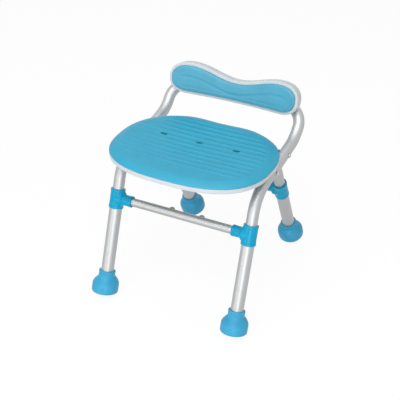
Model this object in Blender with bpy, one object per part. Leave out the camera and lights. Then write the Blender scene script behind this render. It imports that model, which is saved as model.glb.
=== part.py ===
"""Folding shower chair: a bent tube frame, and a moulded seat that folds up with the rear legs.

Units are metres. X runs across the chair, -Y is its front and +Z is up. The chair stands open on z = 0.
"""
from math import cos, pi, radians, sin, sqrt, tan

import bmesh
import bpy
from mathutils import Matrix, Vector

# Tubes
TUBE_D = 0.0254
LEG_D = 0.0286
CROSSBAR_D = 0.0190
TUBE_WALL = 0.0013
LEG_WALL = 0.0013
CROSSBAR_WALL = 0.0013
TUBE_SIDES = 18
HOLE_SIDES = 12
HEAD_SIDES = 14
HEAD_SKIRT_SHARE = 0.35
HEAD_TOP_SHARE = 0.5

# Frame, in the plane of one side
FRAME_HALF_WIDTH = 0.1624
PIVOT_HEIGHT = 0.3159
FRONT_LEAN = radians(20.8)
RUN_RISE = radians(7.55)
BACK_RISE = radians(47.0)
RUN_FORWARD = 0.1476
RUN_BACK = 0.0592
BACK_LENGTH = 0.0721
RUN_BEND_R = 0.070
TOP_BEND_R = 0.045
BEND_STEP = radians(10)

# Legs
REAR_LEAN = radians(23.8)
REAR_LEG_ABOVE_PIVOT = 0.009
LEG_OVERLAP = 0.060
FRONT_TEE_LENGTH = 0.0446
REAR_TEE_LENGTH = 0.0450
TEE_WALL = 0.0020
TEE_LIP = 0.0030
STUB_REACH = 0.0400
STUB_WALL = 0.0030
CROSSBAR_IN_STUB = 0.0200
LEG_TOP_IN_TEE = 0.0080
FRONT_CROSSBAR_HEIGHT = 0.2143
REAR_CROSSBAR_DROP = 0.1440

# Rubber feet, turned about the leg's axis and cut level by the floor
FOOT_LENGTH = 0.0510
FOOT_R = 0.0302
FOOT_NECK_R = 0.0190
FOOT_NECK_LENGTH = 0.0150
FOOT_SHOULDER_LENGTH = 0.0170
FOOT_CORNER_R = 0.0045
FOOT_LIP = 0.0010
FOOT_BOTTOM = 0.0120
SOLE_CUT = 0.0030
FOOT_SIDES = 26

# Buffers on the front crossbar
BUFFER_D = 0.0130
BUFFER_LENGTH = 0.0235
BUFFER_HALF_SPACING = 0.0366
BUFFER_DIP = radians(22)
BUFFER_STUD_D = 0.0040
BUFFER_STUD_DEPTH = 0.0050
BUFFER_HOLE_DEPTH = 0.0085
BUFFER_SIDES = 16

# Pins and rivets
PIVOT_PIN_D = 0.0060
STOP_PIN_D = 0.0080
STOP_PIN_SPACING = 0.0668
PIN_HEAD_D = 0.0110
PIN_HEAD_HEIGHT = 0.0032
WASHER_D = 0.0160
WASHER_THICKNESS = 0.0020
WASHER_SIDES = 20
LEG_RIVET_D = 0.0050
LEG_RIVET_DROP = 0.0340
LEG_RIVET_HEAD_D = 0.0090
LEG_RIVET_HEAD_HEIGHT = 0.0018

# Seat, in its own plane, measured from the pivot
SEAT_TILT = radians(2.0)
SEAT_TOP = 0.0328
PAD_HEIGHT = 0.0098
RIM_HEIGHT = 0.0106
SEAT_HALF_WIDTH = 0.1835
SEAT_WIDEST = -0.1127
SEAT_FRONT_DEPTH = 0.1407
SEAT_REAR_DEPTH = 0.1453
SEAT_FRONT_POWER = 2.6
SEAT_REAR_POWER = 2.33
SEAT_REAR_DIP = 0.0090
SEAT_WALL = 0.0030
SEAT_RIM_BEVEL = 0.0015
SEAT_POINTS = 64
SEAT_COLUMNS = (0.25, 0.6)
PAD_EDGE_R = 0.0220
PAD_EDGE_POWER = 1.6
PAD_UPRIGHT = 0.0015
PAD_DISH = 0.0030
PAD_BORDER = 0.0240
RIB_COUNT = 12
RIB_PITCH = 0.0169
RIB_REARMOST = -0.0030
RIB_WIDTH = 0.0110
RIB_RISE = 0.0010
RIB_TOP_SHARE = 0.45
RIB_RUNOUT = 0.0100
SLOT_LENGTH = 0.0160
SLOT_WIDTH = 0.0092
SLOT_SPACING = 0.0874
SLOT_LINE = -0.0867
SEAT_RIB_LINES = (-0.2050, -0.1500, -0.0550)
SEAT_RIB_HEIGHT = 0.0070
SEAT_RIB_THICKNESS = 0.0025
SEAT_RIB_END_GAP = 0.0070
LEG_NOTCH_CLEARANCE = 0.0020

# Seat arms, which carry the seat on the rear legs and rest on the stop pins
ARM_THICKNESS = 0.0020
ARM_FLANGE = 0.0180
ARM_FRONT = -0.1850
ARM_FLANGE_REAR = -0.0100
ARM_NOSE_DEPTH = 0.0100
ARM_REST_FRONT = -0.0900
ARM_REST_REAR = -0.0480
ARM_EYE_R = 0.0100
ARM_LOBE_R = 0.0090
ARM_SCREW_FRONT = -0.1700
ARM_SCREW_MIDDLE = -0.1050
ARM_SCREW_REAR = -0.0300
SCREW_D = 0.0040
SCREW_HEAD_D = 0.0080
SCREW_HEAD_HEIGHT = 0.0020
SCREW_DEPTH = 0.0025

# Backrest, on a sheet that leans back and curves forward towards its ends
BACK_AHEAD_OF_TUBE = 0.0056
BACK_ABOVE_TUBE = 0.0073
BACK_LEAN = radians(16.0)
BACK_CURVE_R = 0.6400
BACK_HALF_WIDTH = 0.1520
BACK_END_START = 0.1120
BACK_END_POWER = 2.4
BACK_HUMP = 0.0400
BACK_DIP = 0.0188
BACK_BOTTOM = 0.0188
BACK_PAD_THICKNESS = 0.0070
BACK_PAD_CROWN = 0.0010
BACK_PAD_SIDE_HEIGHT = 0.00315
BACK_PAD_SHOULDER_HEIGHT = 0.0056
BACK_PAD_SHOULDER = 0.0015
BACK_PAD_ROUND = 0.0050
BACK_LEDGE = 0.0070
BACK_SHELL_DEPTH = 0.0230
BACK_SHELL_WALL = 0.0030
BACK_SHELL_EDGE = 0.0020
BACK_TUBE_CLEARANCE = 0.0010
BACK_STATIONS = 30
BACK_CHANNEL_DROP = 0.0250
BACK_CHANNEL_R = 0.0045
BACK_CHANNEL_DEPTH = 0.0012
BACK_CHANNEL_HALF_LENGTH = 0.1280
BACK_SCREW_HALF_SPACING = 0.0700
BACK_SCREW_D = 0.0040
BACK_SCREW_HEAD_D = 0.0090
BACK_SCREW_HEAD_HEIGHT = 0.0025
BACK_BOSS_D = 0.0100

GAP = 0.0003

# Colours as linear RGB, with roughness and metallic value
ALUMINIUM = ((0.62, 0.63, 0.64), 0.32, 1.0)
STEEL = ((0.50, 0.51, 0.52), 0.35, 1.0)
FOAM_BLUE = ((0.065, 0.375, 0.560), 0.55, 0.0)
MOULDED_BLUE = ((0.020, 0.330, 0.560), 0.45, 0.0)
SHELL_WHITE = ((0.680, 0.720, 0.750), 0.40, 0.0)
BUFFER_YELLOW = ((0.480, 0.400, 0.050), 0.60, 0.0)

TUBE_R = TUBE_D / 2
LEG_R = LEG_D / 2
CROSSBAR_R = CROSSBAR_D / 2
TEE_R = LEG_R + GAP + TEE_WALL
STUB_R = CROSSBAR_R + GAP + STUB_WALL
REAR_LEG_X = FRAME_HALF_WIDTH - 2 * TUBE_R - WASHER_THICKNESS - 2 * GAP
ARM_OUTER_X = REAR_LEG_X - TUBE_R - GAP
ARM_INNER_X = ARM_OUTER_X - ARM_THICKNESS
PIVOT = Vector((0, 0, PIVOT_HEIGHT))
SIDES = (("left", -1), ("right", 1))
ARM_SCREWS = (("front", ARM_SCREW_FRONT), ("middle", ARM_SCREW_MIDDLE), ("rear", ARM_SCREW_REAR))


def clear_scene():
    for item in list(bpy.data.objects):
        bpy.data.objects.remove(item, do_unlink=True)


def material(name, look):
    """A plain surface of one colour."""
    colour, roughness, metallic = look
    made = bpy.data.materials.new(name)
    made.use_nodes = True
    shader = made.node_tree.nodes["Principled BSDF"]
    shader.inputs["Base Color"].default_value = (*colour, 1)
    shader.inputs["Roughness"].default_value = roughness
    shader.inputs["Metallic"].default_value = metallic
    made.diffuse_color = (*colour, 1)
    return made


def empty(name, location):
    """A pivot that other objects hang from."""
    made = bpy.data.objects.new(name, None)
    bpy.context.collection.objects.link(made)
    made.location = location
    return made


def mesh_object(name, bm, parent, look):
    """One named piece, its origin at its parent's, with its own material."""
    bmesh.ops.remove_doubles(bm, verts=bm.verts, dist=1e-6)
    bmesh.ops.recalc_face_normals(bm, faces=bm.faces)
    mesh = bpy.data.meshes.new(name)
    bm.to_mesh(mesh)
    bm.free()
    mesh.shade_smooth()
    mesh.set_sharp_from_angle(angle=radians(35))
    made = bpy.data.objects.new(name, mesh)
    bpy.context.collection.objects.link(made)
    made.parent = parent
    if look:
        made.data.materials.append(material(name, look))
    return made


def cut(target, bm, operation="DIFFERENCE"):
    """Cut target by a hidden body, or join the body to it."""
    cutter = mesh_object(target.name + "_cutter", bm, target.parent, None)
    cutter.hide_render = True
    cutter.display_type = "WIRE"
    step = target.modifiers.new(operation.title(), "BOOLEAN")
    step.operation = operation
    step.solver = "EXACT"
    step.object = cutter


def mirrored(x, side):
    return x * side


def ring(centre, across, along, radius, sides):
    """Points of a circle in the plane of across and along."""
    return [centre + radius * (cos(2 * pi * i / sides) * across + sin(2 * pi * i / sides) * along)
            for i in range(sides)]


def bridge(bm, first, second):
    """Faces between two rings of vertices with equal counts."""
    count = len(first)
    for i in range(count):
        j = (i + 1) % count
        bm.faces.new((first[i], first[j], second[j], second[i]))


def fill_rows(bm, rows):
    """Faces between rows of vertices with equal counts, also where neighbours share a vertex."""
    for upper, lower in zip(rows, rows[1:]):
        for i in range(len(upper) - 1):
            corners = []
            for vert in (upper[i], upper[i + 1], lower[i + 1], lower[i]):
                if vert not in corners:
                    corners.append(vert)
            if len(corners) > 2:
                bm.faces.new(corners)


def path_frames(path):
    """Two directions square to a path at each point, carried along it without twist."""
    frames = []
    across = None
    for i, point in enumerate(path):
        before = path[max(i - 1, 0)]
        after = path[min(i + 1, len(path) - 1)]
        heading = (after - before).normalized()
        if across is None:
            helper = Vector((1, 0, 0)) if abs(heading.x) < 0.9 else Vector((0, 0, 1))
            across = heading.cross(helper).normalized()
        across = (across - across.dot(heading) * heading).normalized()
        frames.append((across, heading.cross(across)))
    return frames


def swept(path, radius, bore=0.0, sides=TUBE_SIDES):
    """A round bar along a path, or a tube where it has a bore radius."""
    bm = bmesh.new()
    frames = path_frames(path)
    skins = []
    for skin_radius in (radius, bore) if bore else (radius,):
        rings = [[bm.verts.new(p) for p in ring(path[i], a, b, skin_radius, sides)]
                 for i, (a, b) in enumerate(frames)]
        for first, second in zip(rings, rings[1:]):
            bridge(bm, first, second)
        skins.append(rings)
    for end in (0, -1):
        if bore:
            bridge(bm, skins[0][end], skins[1][end])
        else:
            bm.faces.new(skins[0][end])
    return bm


def rod(start, end, radius, bore=0.0, sides=TUBE_SIDES):
    return swept([Vector(start), Vector(end)], radius, bore, sides)


def drill(start, end, radius):
    """A cutter for a small round hole."""
    return rod(start, end, radius, sides=HOLE_SIDES)


def rounded_path(corners, radii):
    """A path through the corners with an arc of the given radius at each inner one."""
    path = [corners[0]]
    for before, corner, after, radius in zip(corners, corners[1:], corners[2:], radii):
        arrive = (corner - before).normalized()
        leave = (after - corner).normalized()
        turn = arrive.angle(leave)
        start = corner - arrive * radius * tan(turn / 2)
        centre = start + radius * (leave - leave.dot(arrive) * arrive).normalized()
        spoke = start - centre
        steps = max(2, round(turn / BEND_STEP))
        for i in range(steps + 1):
            angle = turn * i / steps
            path.append(centre + cos(angle) * spoke + sin(angle) * radius * arrive)
    path.append(corners[-1])
    return path


def turned(profile, start, heading, sides):
    """A closed body turned from (distance, radius) points about an axis, flat at both ends."""
    bm = bmesh.new()
    heading = heading.normalized()
    across = heading.cross(Vector((1, 0, 0))).normalized()
    along = heading.cross(across)
    rings = []
    for distance, radius in profile:
        centre = start + heading * distance
        rings.append([bm.verts.new(p) for p in ring(centre, across, along, radius, sides)])
    for first, second in zip(rings, rings[1:]):
        bridge(bm, first, second)
    bm.faces.new(rings[0])
    bm.faces.new(rings[-1])
    return bm


def box(low, high):
    bm = bmesh.new()
    bmesh.ops.create_cube(bm, size=1)
    low, high = Vector(low), Vector(high)
    for vert in bm.verts:
        vert.co = [low[k] + (vert.co[k] + 0.5) * (high[k] - low[k]) for k in range(3)]
    return bm


def prism(outline, low, high, place):
    """A closed outline of (u, v) points between two depths, put in place by place(u, v, depth)."""
    bm = bmesh.new()
    rings = [[bm.verts.new(place(u, v, depth)) for u, v in outline] for depth in (low, high)]
    bridge(bm, *rings)
    for end in rings:
        bm.faces.new(end)
    return bm


def arc(centre_u, centre_v, radius, start, end, steps):
    """Points on an arc in a flat outline, both ends included."""
    return [(centre_u + radius * cos(start + (end - start) * i / steps),
             centre_v + radius * sin(start + (end - start) * i / steps)) for i in range(steps + 1)]


# Frame lines, from the pivot

def side_corners(side):
    """Corners of the side tube from the front leg to the middle of the top bend, from the floor up."""
    x = mirrored(FRAME_HALF_WIDTH, side)
    run = Vector((0, cos(RUN_RISE), sin(RUN_RISE)))
    front = Vector((x, 0, 0)) - run * RUN_FORWARD
    rear = Vector((x, 0, 0)) + run * RUN_BACK
    top = rear + BACK_LENGTH * Vector((0, cos(BACK_RISE), sin(BACK_RISE)))
    return front, rear, top


def front_leg_point(side, height):
    """Point on the front leg's axis at a height above the floor."""
    front = side_corners(side)[0]
    drop = PIVOT_HEIGHT + front.z - height
    return front + Vector((0, -drop * tan(FRONT_LEAN), -drop))


def front_leg_heading():
    return Vector((0, -sin(FRONT_LEAN), -cos(FRONT_LEAN)))


def rear_leg_heading():
    return Vector((0, sin(REAR_LEAN), -cos(REAR_LEAN)))


def rear_leg_point(side, drop):
    """Point on the rear leg's axis at a distance below the pivot."""
    return Vector((mirrored(REAR_LEG_X, side), 0, 0)) + rear_leg_heading() * drop


def foot_rim_height(lean):
    """Height of the rim's centre that lets the floor cut the sole's lowest corner by SOLE_CUT."""
    core_length = FOOT_LENGTH - FOOT_CORNER_R
    core_radius = FOOT_R - FOOT_CORNER_R
    return core_length * cos(lean) + core_radius * sin(lean) + FOOT_CORNER_R - SOLE_CUT


def stop_pin_centre():
    return -STOP_PIN_SPACING * Vector((0, cos(RUN_RISE), sin(RUN_RISE)))


# Bent frame tube

def frame_path():
    """Axis of the one tube that makes both front legs, the seat rails and the back."""
    tee_top = front_tee_span(1)[0].z + PIVOT_HEIGHT
    lower_end = tee_top - LEG_OVERLAP * cos(FRONT_LEAN)
    corners = []
    for side in (1, -1):
        half = [front_leg_point(side, lower_end), *side_corners(side)]
        corners += half if side == 1 else half[::-1]
    radii = [RUN_BEND_R, RUN_BEND_R, TOP_BEND_R]
    return rounded_path(corners, radii + radii[::-1])


def back_tube_axis():
    """Middle of the frame tube's top, behind the backrest."""
    top = side_corners(1)[2]
    return Vector((0, top.y, top.z))


def make_frame_tube(parent):
    tube = mesh_object("frame_tube", swept(frame_path(), TUBE_R, TUBE_R - TUBE_WALL), parent, ALUMINIUM)
    stop = stop_pin_centre()
    for name, side in SIDES:
        outer = Vector((mirrored(FRAME_HALF_WIDTH + 2 * TUBE_R, side), 0, 0))
        inner = Vector((mirrored(FRAME_HALF_WIDTH - 2 * TUBE_R, side), 0, 0))
        cut(tube, drill(inner, outer, PIVOT_PIN_D / 2 + GAP))
        cut(tube, drill(inner + stop, outer + stop, STOP_PIN_D / 2 + GAP))
        cut(tube, backrest_screw_hole(side))
    return tube


# Legs, tees and crossbars

def front_tee_span(side):
    """Top and bottom of the front tee on the leg's axis."""
    middle = front_leg_point(side, FRONT_CROSSBAR_HEIGHT)
    half = front_leg_heading() * FRONT_TEE_LENGTH / 2
    return middle - half, middle + half


def rear_tee_span(side):
    middle = rear_leg_point(side, REAR_CROSSBAR_DROP)
    half = rear_leg_heading() * REAR_TEE_LENGTH / 2
    return middle - half, middle + half


def make_lower_leg(name, parent, tee_span, foot_end):
    """The thicker tube between a tee and a foot."""
    top, bottom = tee_span
    start = top + (bottom - top).normalized() * LEG_TOP_IN_TEE
    return mesh_object(name, rod(start, foot_end, LEG_R, LEG_R - LEG_WALL), parent, ALUMINIUM)


def make_tee(name, parent, tee_span, side):
    """A moulded sleeve round the leg joint, with a stub for the crossbar."""
    top, bottom = tee_span
    middle = (top + bottom) / 2
    heading = (bottom - top).normalized()
    stub_end = middle - Vector((mirrored(STUB_REACH, side), 0, 0))
    tee = mesh_object(name, rod(top, bottom, TEE_R), parent, MOULDED_BLUE)
    cut(tee, rod(middle, stub_end, STUB_R), "UNION")
    lip = top + heading * (LEG_TOP_IN_TEE - GAP)
    cut(tee, rod(lip, bottom + heading * TEE_LIP, LEG_R + GAP))
    cut(tee, rod(top - heading * TEE_LIP, bottom, TUBE_R + GAP))
    socket = stub_end + Vector((mirrored(CROSSBAR_IN_STUB, side), 0, 0))
    mouth = stub_end - Vector((mirrored(TEE_LIP, side), 0, 0))
    cut(tee, rod(socket, mouth, CROSSBAR_R + GAP))
    return tee


def make_crossbar(name, parent, right_span, leg_x):
    """The tube between two tees."""
    middle = (right_span[0] + right_span[1]) / 2
    reach = leg_x - STUB_REACH + CROSSBAR_IN_STUB - GAP
    left = Vector((-reach, middle.y, middle.z))
    right = Vector((reach, middle.y, middle.z))
    return mesh_object(name, rod(left, right, CROSSBAR_R, CROSSBAR_R - CROSSBAR_WALL), parent, ALUMINIUM)


# Feet

def foot_profile():
    """Outer line of a foot from its rim to its sole, as (distance, radius)."""
    profile = [(0, FOOT_NECK_R - FOOT_LIP), (FOOT_LIP, FOOT_NECK_R), (FOOT_NECK_LENGTH, FOOT_NECK_R)]
    swell = FOOT_R - FOOT_NECK_R
    shoulder_steps = 4
    for i in range(1, shoulder_steps + 1):
        share = i / shoulder_steps
        profile.append((FOOT_NECK_LENGTH + FOOT_SHOULDER_LENGTH * share,
                        FOOT_NECK_R + swell * sin(share * pi / 2)))
    corner_steps = 3
    for i in range(corner_steps + 1):
        angle = i / corner_steps * pi / 2
        profile.append((FOOT_LENGTH - FOOT_CORNER_R + FOOT_CORNER_R * sin(angle),
                        FOOT_R - FOOT_CORNER_R + FOOT_CORNER_R * cos(angle)))
    return profile


def make_foot(name, parent, rim, heading):
    """A rubber foot on the end of a leg, cut level by the floor."""
    foot = mesh_object(name, turned(foot_profile(), rim, heading, FOOT_SIDES), parent, MOULDED_BLUE)
    bore_end = rim + heading * (FOOT_LENGTH - FOOT_BOTTOM)
    cut(foot, rod(rim - heading * FOOT_CORNER_R, bore_end, LEG_R + GAP))
    reach = 2 * FOOT_LENGTH
    floor = -PIVOT_HEIGHT
    cut(foot, box(rim - Vector((reach, reach, 2 * reach)), (rim.x + reach, rim.y + reach, floor)))
    return foot


def leg_end(rim, heading):
    """Where the leg ends inside its foot."""
    return rim + heading * (FOOT_LENGTH - FOOT_BOTTOM - GAP)


# Buffers on the front crossbar

def buffer_axis():
    return Vector((0, cos(BUFFER_DIP), -sin(BUFFER_DIP)))


def make_buffers(parent, crossbar):
    """Two domed rubber buffers that point back from the front crossbar, hollowed to sit round it."""
    middle = (front_tee_span(1)[0] + front_tee_span(1)[1]) / 2
    axis = buffer_axis()
    across = Vector((BUFFER_D, 0, 0))
    radius = BUFFER_D / 2
    for name, side in SIDES:
        centre = Vector((mirrored(BUFFER_HALF_SPACING, side), middle.y, middle.z))
        profile = [(CROSSBAR_R / 2, radius)]
        dome_start = CROSSBAR_R + BUFFER_LENGTH - radius
        for i in range(5):
            angle = i / 5 * pi / 2
            profile.append((dome_start + radius * sin(angle), radius * cos(angle)))
        body = turned(profile, centre, axis, BUFFER_SIDES)
        buffer = mesh_object("crossbar_buffer_" + name, body, parent, BUFFER_YELLOW)
        cut(buffer, rod(centre - across, centre + across, CROSSBAR_R + GAP))
        stud_end = centre + axis * (CROSSBAR_R - BUFFER_STUD_DEPTH)
        overlap = centre + axis * (CROSSBAR_R + BUFFER_LENGTH / 2)
        cut(buffer, drill(stud_end, overlap, BUFFER_STUD_D / 2), "UNION")
        clear = centre + axis * 2 * CROSSBAR_R
        hole_end = centre + axis * (CROSSBAR_R - BUFFER_HOLE_DEPTH)
        cut(crossbar, drill(hole_end, clear, BUFFER_STUD_D / 2 + GAP))


# Pins

def pin(outer_x, inner_x, centre, radius, head_radius, head_height, side, two_heads=True):
    """A pin across the chair with a low domed head at its outer end, and one at its inner end."""
    shaft = rod(centre + Vector((mirrored(inner_x, side), 0, 0)),
                centre + Vector((mirrored(outer_x, side), 0, 0)), radius, sides=HOLE_SIDES)
    bodies = [shaft]
    outward = Vector((side, 0, 0))
    ends = [(outer_x, outward)]
    if two_heads:
        ends.append((inner_x, -outward))
    for x, heading in ends:
        start = centre + Vector((mirrored(x, side), 0, 0))
        bodies.append(head(start, heading, head_radius, head_height))
    return bodies


def head(start, heading, radius, height):
    """A low domed head that stands on start."""
    profile = [(0, radius), (height * HEAD_SKIRT_SHARE, radius), (height, radius * HEAD_TOP_SHARE)]
    across = Vector((0, 1, 0)) if abs(heading.y) < 0.9 else Vector((1, 0, 0))
    across = across - across.dot(heading) * heading
    across.normalize()
    along = heading.cross(across)
    bm = bmesh.new()
    rings = [[bm.verts.new(p) for p in ring(start + heading * d, across, along, r, HEAD_SIDES)]
             for d, r in profile]
    for first, second in zip(rings, rings[1:]):
        bridge(bm, first, second)
    bm.faces.new(rings[0])
    bm.faces.new(rings[-1])
    return bm


def union_of(name, bodies, parent, look):
    """One piece from several bodies that run into each other."""
    made = mesh_object(name, bodies[0], parent, look)
    for body in bodies[1:]:
        cut(made, body, "UNION")
    return made


def make_pins(parent):
    """The pivot pins, the stop pins and the washers between frame and rear legs."""
    outer = FRAME_HALF_WIDTH + TUBE_R + GAP
    arm_face = ARM_INNER_X - GAP
    for name, side in SIDES:
        bodies = pin(outer, arm_face, Vector(), PIVOT_PIN_D / 2, PIN_HEAD_D / 2, PIN_HEAD_HEIGHT, side)
        union_of("pivot_pin_" + name, bodies, parent, STEEL)
        bodies = pin(outer, ARM_INNER_X, stop_pin_centre(), STOP_PIN_D / 2, PIN_HEAD_D / 2,
                     PIN_HEAD_HEIGHT, side, two_heads=False)
        union_of("stop_pin_" + name, bodies, parent, STEEL)
        washer_outer = FRAME_HALF_WIDTH - TUBE_R - GAP
        washer_inner = washer_outer - WASHER_THICKNESS
        washer = rod((mirrored(washer_inner, side), 0, 0), (mirrored(washer_outer, side), 0, 0),
                     WASHER_D / 2, PIVOT_PIN_D / 2 + GAP, sides=WASHER_SIDES)
        mesh_object("pivot_washer_" + name, washer, parent, STEEL)


# Rear legs

def make_rear_legs(parent):
    """The rear frame, which swings on the pivot; its upper tubes have closed top ends."""
    heading = rear_leg_heading()
    tee_top = REAR_CROSSBAR_DROP - REAR_TEE_LENGTH / 2
    foot_rim = (PIVOT_HEIGHT - foot_rim_height(REAR_LEAN)) / cos(REAR_LEAN)
    for name, side in SIDES:
        top = rear_leg_point(side, -REAR_LEG_ABOVE_PIVOT)
        upper_end = rear_leg_point(side, tee_top + LEG_OVERLAP)
        leg = mesh_object("rear_leg_upper_" + name, rod(top, upper_end, TUBE_R), parent, ALUMINIUM)
        end_wall = heading * TUBE_WALL
        cut(leg, rod(top + end_wall, upper_end + end_wall, TUBE_R - TUBE_WALL))
        rim = rear_leg_point(side, foot_rim)
        make_lower_leg("rear_leg_lower_" + name, parent, rear_tee_span(side), leg_end(rim, heading))
        make_tee("rear_tee_" + name, parent, rear_tee_span(side), side)
        make_foot("rear_foot_" + name, parent, rim, heading)
        across = Vector((mirrored(2 * TUBE_R, side), 0, 0))
        pivot = rear_leg_point(side, 0)
        cut(leg, drill(pivot - across, pivot + across, PIVOT_PIN_D / 2 + GAP))
        rivet = rear_leg_point(side, LEG_RIVET_DROP)
        cut(leg, drill(rivet - across, rivet + across, LEG_RIVET_D / 2 + GAP))
        outer = REAR_LEG_X + TUBE_R + GAP
        centre = Vector((0, rivet.y, rivet.z))
        bodies = pin(outer, ARM_INNER_X - GAP, centre, LEG_RIVET_D / 2, LEG_RIVET_HEAD_D / 2,
                     LEG_RIVET_HEAD_HEIGHT, side)
        union_of("arm_rivet_" + name, bodies, parent, STEEL)
    make_crossbar("rear_crossbar", parent, rear_tee_span(1), REAR_LEG_X)


# Front legs

def make_front_legs(parent):
    heading = front_leg_heading()
    rim_height = foot_rim_height(FRONT_LEAN)
    for name, side in SIDES:
        rim = front_leg_point(side, rim_height)
        make_lower_leg("front_leg_" + name, parent, front_tee_span(side), leg_end(rim, heading))
        make_tee("front_tee_" + name, parent, front_tee_span(side), side)
        make_foot("front_foot_" + name, parent, rim, heading)
    crossbar = make_crossbar("front_crossbar", parent, front_tee_span(1), FRAME_HALF_WIDTH)
    make_buffers(parent, crossbar)


# Seat

SEAT_TURN = Matrix.Rotation(-SEAT_TILT, 3, "X")
RIM_TOP = SEAT_TOP - PAD_HEIGHT
RIM_BOTTOM = RIM_TOP - RIM_HEIGHT
PLATE_UNDERSIDE = RIM_TOP - SEAT_WALL


def seat_place(x, y, z):
    """A point given in the seat's own plane, tilted about the pivot."""
    return SEAT_TURN @ Vector((x, y, z))


def seat_outline_point(turn):
    """Point of the seat's outline; turn runs from the rear (0) over the right side and back."""
    front = cos(turn) < 0
    power = SEAT_FRONT_POWER if front else SEAT_REAR_POWER
    depth = SEAT_FRONT_DEPTH if front else SEAT_REAR_DEPTH
    x = SEAT_HALF_WIDTH * abs(sin(turn)) ** (2 / power)
    reach = depth * abs(cos(turn)) ** (2 / power)
    if not front:
        dip_share = min(2 * x / SEAT_HALF_WIDTH, 1)
        reach -= SEAT_REAR_DIP * cos(pi / 2 * dip_share) ** 2
    y = SEAT_WIDEST + (-reach if front else reach)
    return Vector((x if sin(turn) >= 0 else -x, y))


def outline_at(turn, offset):
    """Point of the seat's outline at a turn, moved inwards by offset."""
    step = 0.001
    tangent = (seat_outline_point(turn + step) - seat_outline_point(turn - step)).normalized()
    return seat_outline_point(turn) + Vector((tangent.y, -tangent.x)) * offset


def seat_turns():
    """Turns that spread the outline's points evenly along it."""
    fine = 1440
    turns = [2 * pi * (i + 0.5) / fine for i in range(fine)]
    points = [seat_outline_point(turn) for turn in turns]
    steps = [(points[(i + 1) % fine] - points[i]).length for i in range(fine)]
    spacing = sum(steps) / SEAT_POINTS
    even = []
    travelled = 0.0
    for turn, step in zip(turns, steps):
        if travelled >= len(even) * spacing:
            even.append(turn)
        travelled += step
    return even


def seat_stack(profile):
    """A closed body with the seat's outline, from (offset, z) rings."""
    bm = bmesh.new()
    turns = seat_turns()
    rings = []
    for offset, z in profile:
        rings.append([bm.verts.new(seat_place(*outline_at(turn, offset), z)) for turn in turns])
    for first, second in zip(rings, rings[1:]):
        bridge(bm, first, second)
    bm.faces.new(rings[0])
    bm.faces.new(rings[-1])
    return bm


def slot_prism(x, low, high, grow=0.0):
    """A drain slot with round ends, between two heights."""
    radius = SLOT_WIDTH / 2 + grow
    reach = SLOT_LENGTH / 2 - SLOT_WIDTH / 2
    outline = arc(x + reach, SLOT_LINE, radius, -pi / 2, pi / 2, 6)
    outline += arc(x - reach, SLOT_LINE, radius, pi / 2, 3 * pi / 2, 6)
    return prism(outline, low, high, seat_place)


def make_seat_shell(parent):
    """The moulded tray under the pad: a plate with a skirt round it, open below."""
    profile = [
        (SEAT_WALL, PLATE_UNDERSIDE),
        (SEAT_WALL, RIM_BOTTOM),
        (SEAT_RIM_BEVEL, RIM_BOTTOM),
        (0, RIM_BOTTOM + SEAT_RIM_BEVEL),
        (0, RIM_TOP),
    ]
    shell = mesh_object("seat_shell", seat_stack(profile), parent, SHELL_WHITE)
    rib_reach = ARM_INNER_X - ARM_FLANGE - SEAT_RIB_END_GAP
    for y in SEAT_RIB_LINES:
        outline = [(-rib_reach, y), (rib_reach, y), (rib_reach, y + SEAT_RIB_THICKNESS),
                   (-rib_reach, y + SEAT_RIB_THICKNESS)]
        low = PLATE_UNDERSIDE - SEAT_RIB_HEIGHT
        cut(shell, prism(outline, low, PLATE_UNDERSIDE + SEAT_WALL / 2, seat_place), "UNION")
    for x in (-SLOT_SPACING, 0, SLOT_SPACING):
        cut(shell, slot_prism(x, PLATE_UNDERSIDE - SEAT_WALL, RIM_TOP + SEAT_WALL))
    for name, side in SIDES:
        top = rear_leg_point(side, -REAR_LEG_ABOVE_PIVOT - LEG_NOTCH_CLEARANCE)
        cut(shell, rod(top, rear_leg_point(side, 0), TUBE_R + LEG_NOTCH_CLEARANCE))
        for place_name, y in ARM_SCREWS:
            x = mirrored(ARM_INNER_X - ARM_FLANGE / 2, side)
            start = seat_place(x, y, PLATE_UNDERSIDE - SEAT_WALL)
            end = seat_place(x, y, PLATE_UNDERSIDE + SCREW_DEPTH)
            cut(shell, drill(start, end, SCREW_D / 2 + GAP))
    return shell


def pad_surface(x, y):
    """Height of the pad's top, which is dished towards its middle."""
    across = x / (SEAT_HALF_WIDTH - PAD_BORDER)
    middle = SEAT_WIDEST
    along = (y - middle) / (SEAT_FRONT_DEPTH - PAD_BORDER)
    away = min(1.0, across ** 2 + along ** 2)
    return SEAT_TOP - PAD_DISH * (1 - away) ** 2


def pad_lines():
    """Lines across the pad from the rear as (y, lift): both feet and both shoulders of each rib."""
    half = RIB_WIDTH / 2
    lines = []
    for i in range(RIB_COUNT):
        y = RIB_REARMOST - RIB_PITCH * i
        lines += [(y + half, 0), (y + half * RIB_TOP_SHARE, RIB_RISE)]
        lines += [(y - half * RIB_TOP_SHARE, RIB_RISE), (y - half, 0)]
    return lines


def turn_at(y):
    """Turn at which the pad's border crosses a line on the right."""
    low, high = pi / 9, pi
    for i in range(40):
        middle = (low + high) / 2
        if outline_at(middle, PAD_BORDER).y > y:
            low = middle
        else:
            high = middle
    return low


def between(first, last, count):
    """Evenly spaced values between two others."""
    return [first + (last - first) * (i + 1) / (count + 1) for i in range(count)]


def pad_profile():
    """Outer side of the pad as (offset, z): upright, then rounded over."""
    bottom = RIM_TOP + GAP
    rise = SEAT_TOP - bottom - PAD_UPRIGHT
    profile = [(0, bottom)]
    steps = 4
    for i in range(steps + 1):
        angle = i / steps * pi / 2
        inwards = PAD_EDGE_R * (1 - cos(angle) ** PAD_EDGE_POWER)
        profile.append((inwards, bottom + PAD_UPRIGHT + rise * sin(angle) ** PAD_EDGE_POWER))
    return profile


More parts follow.
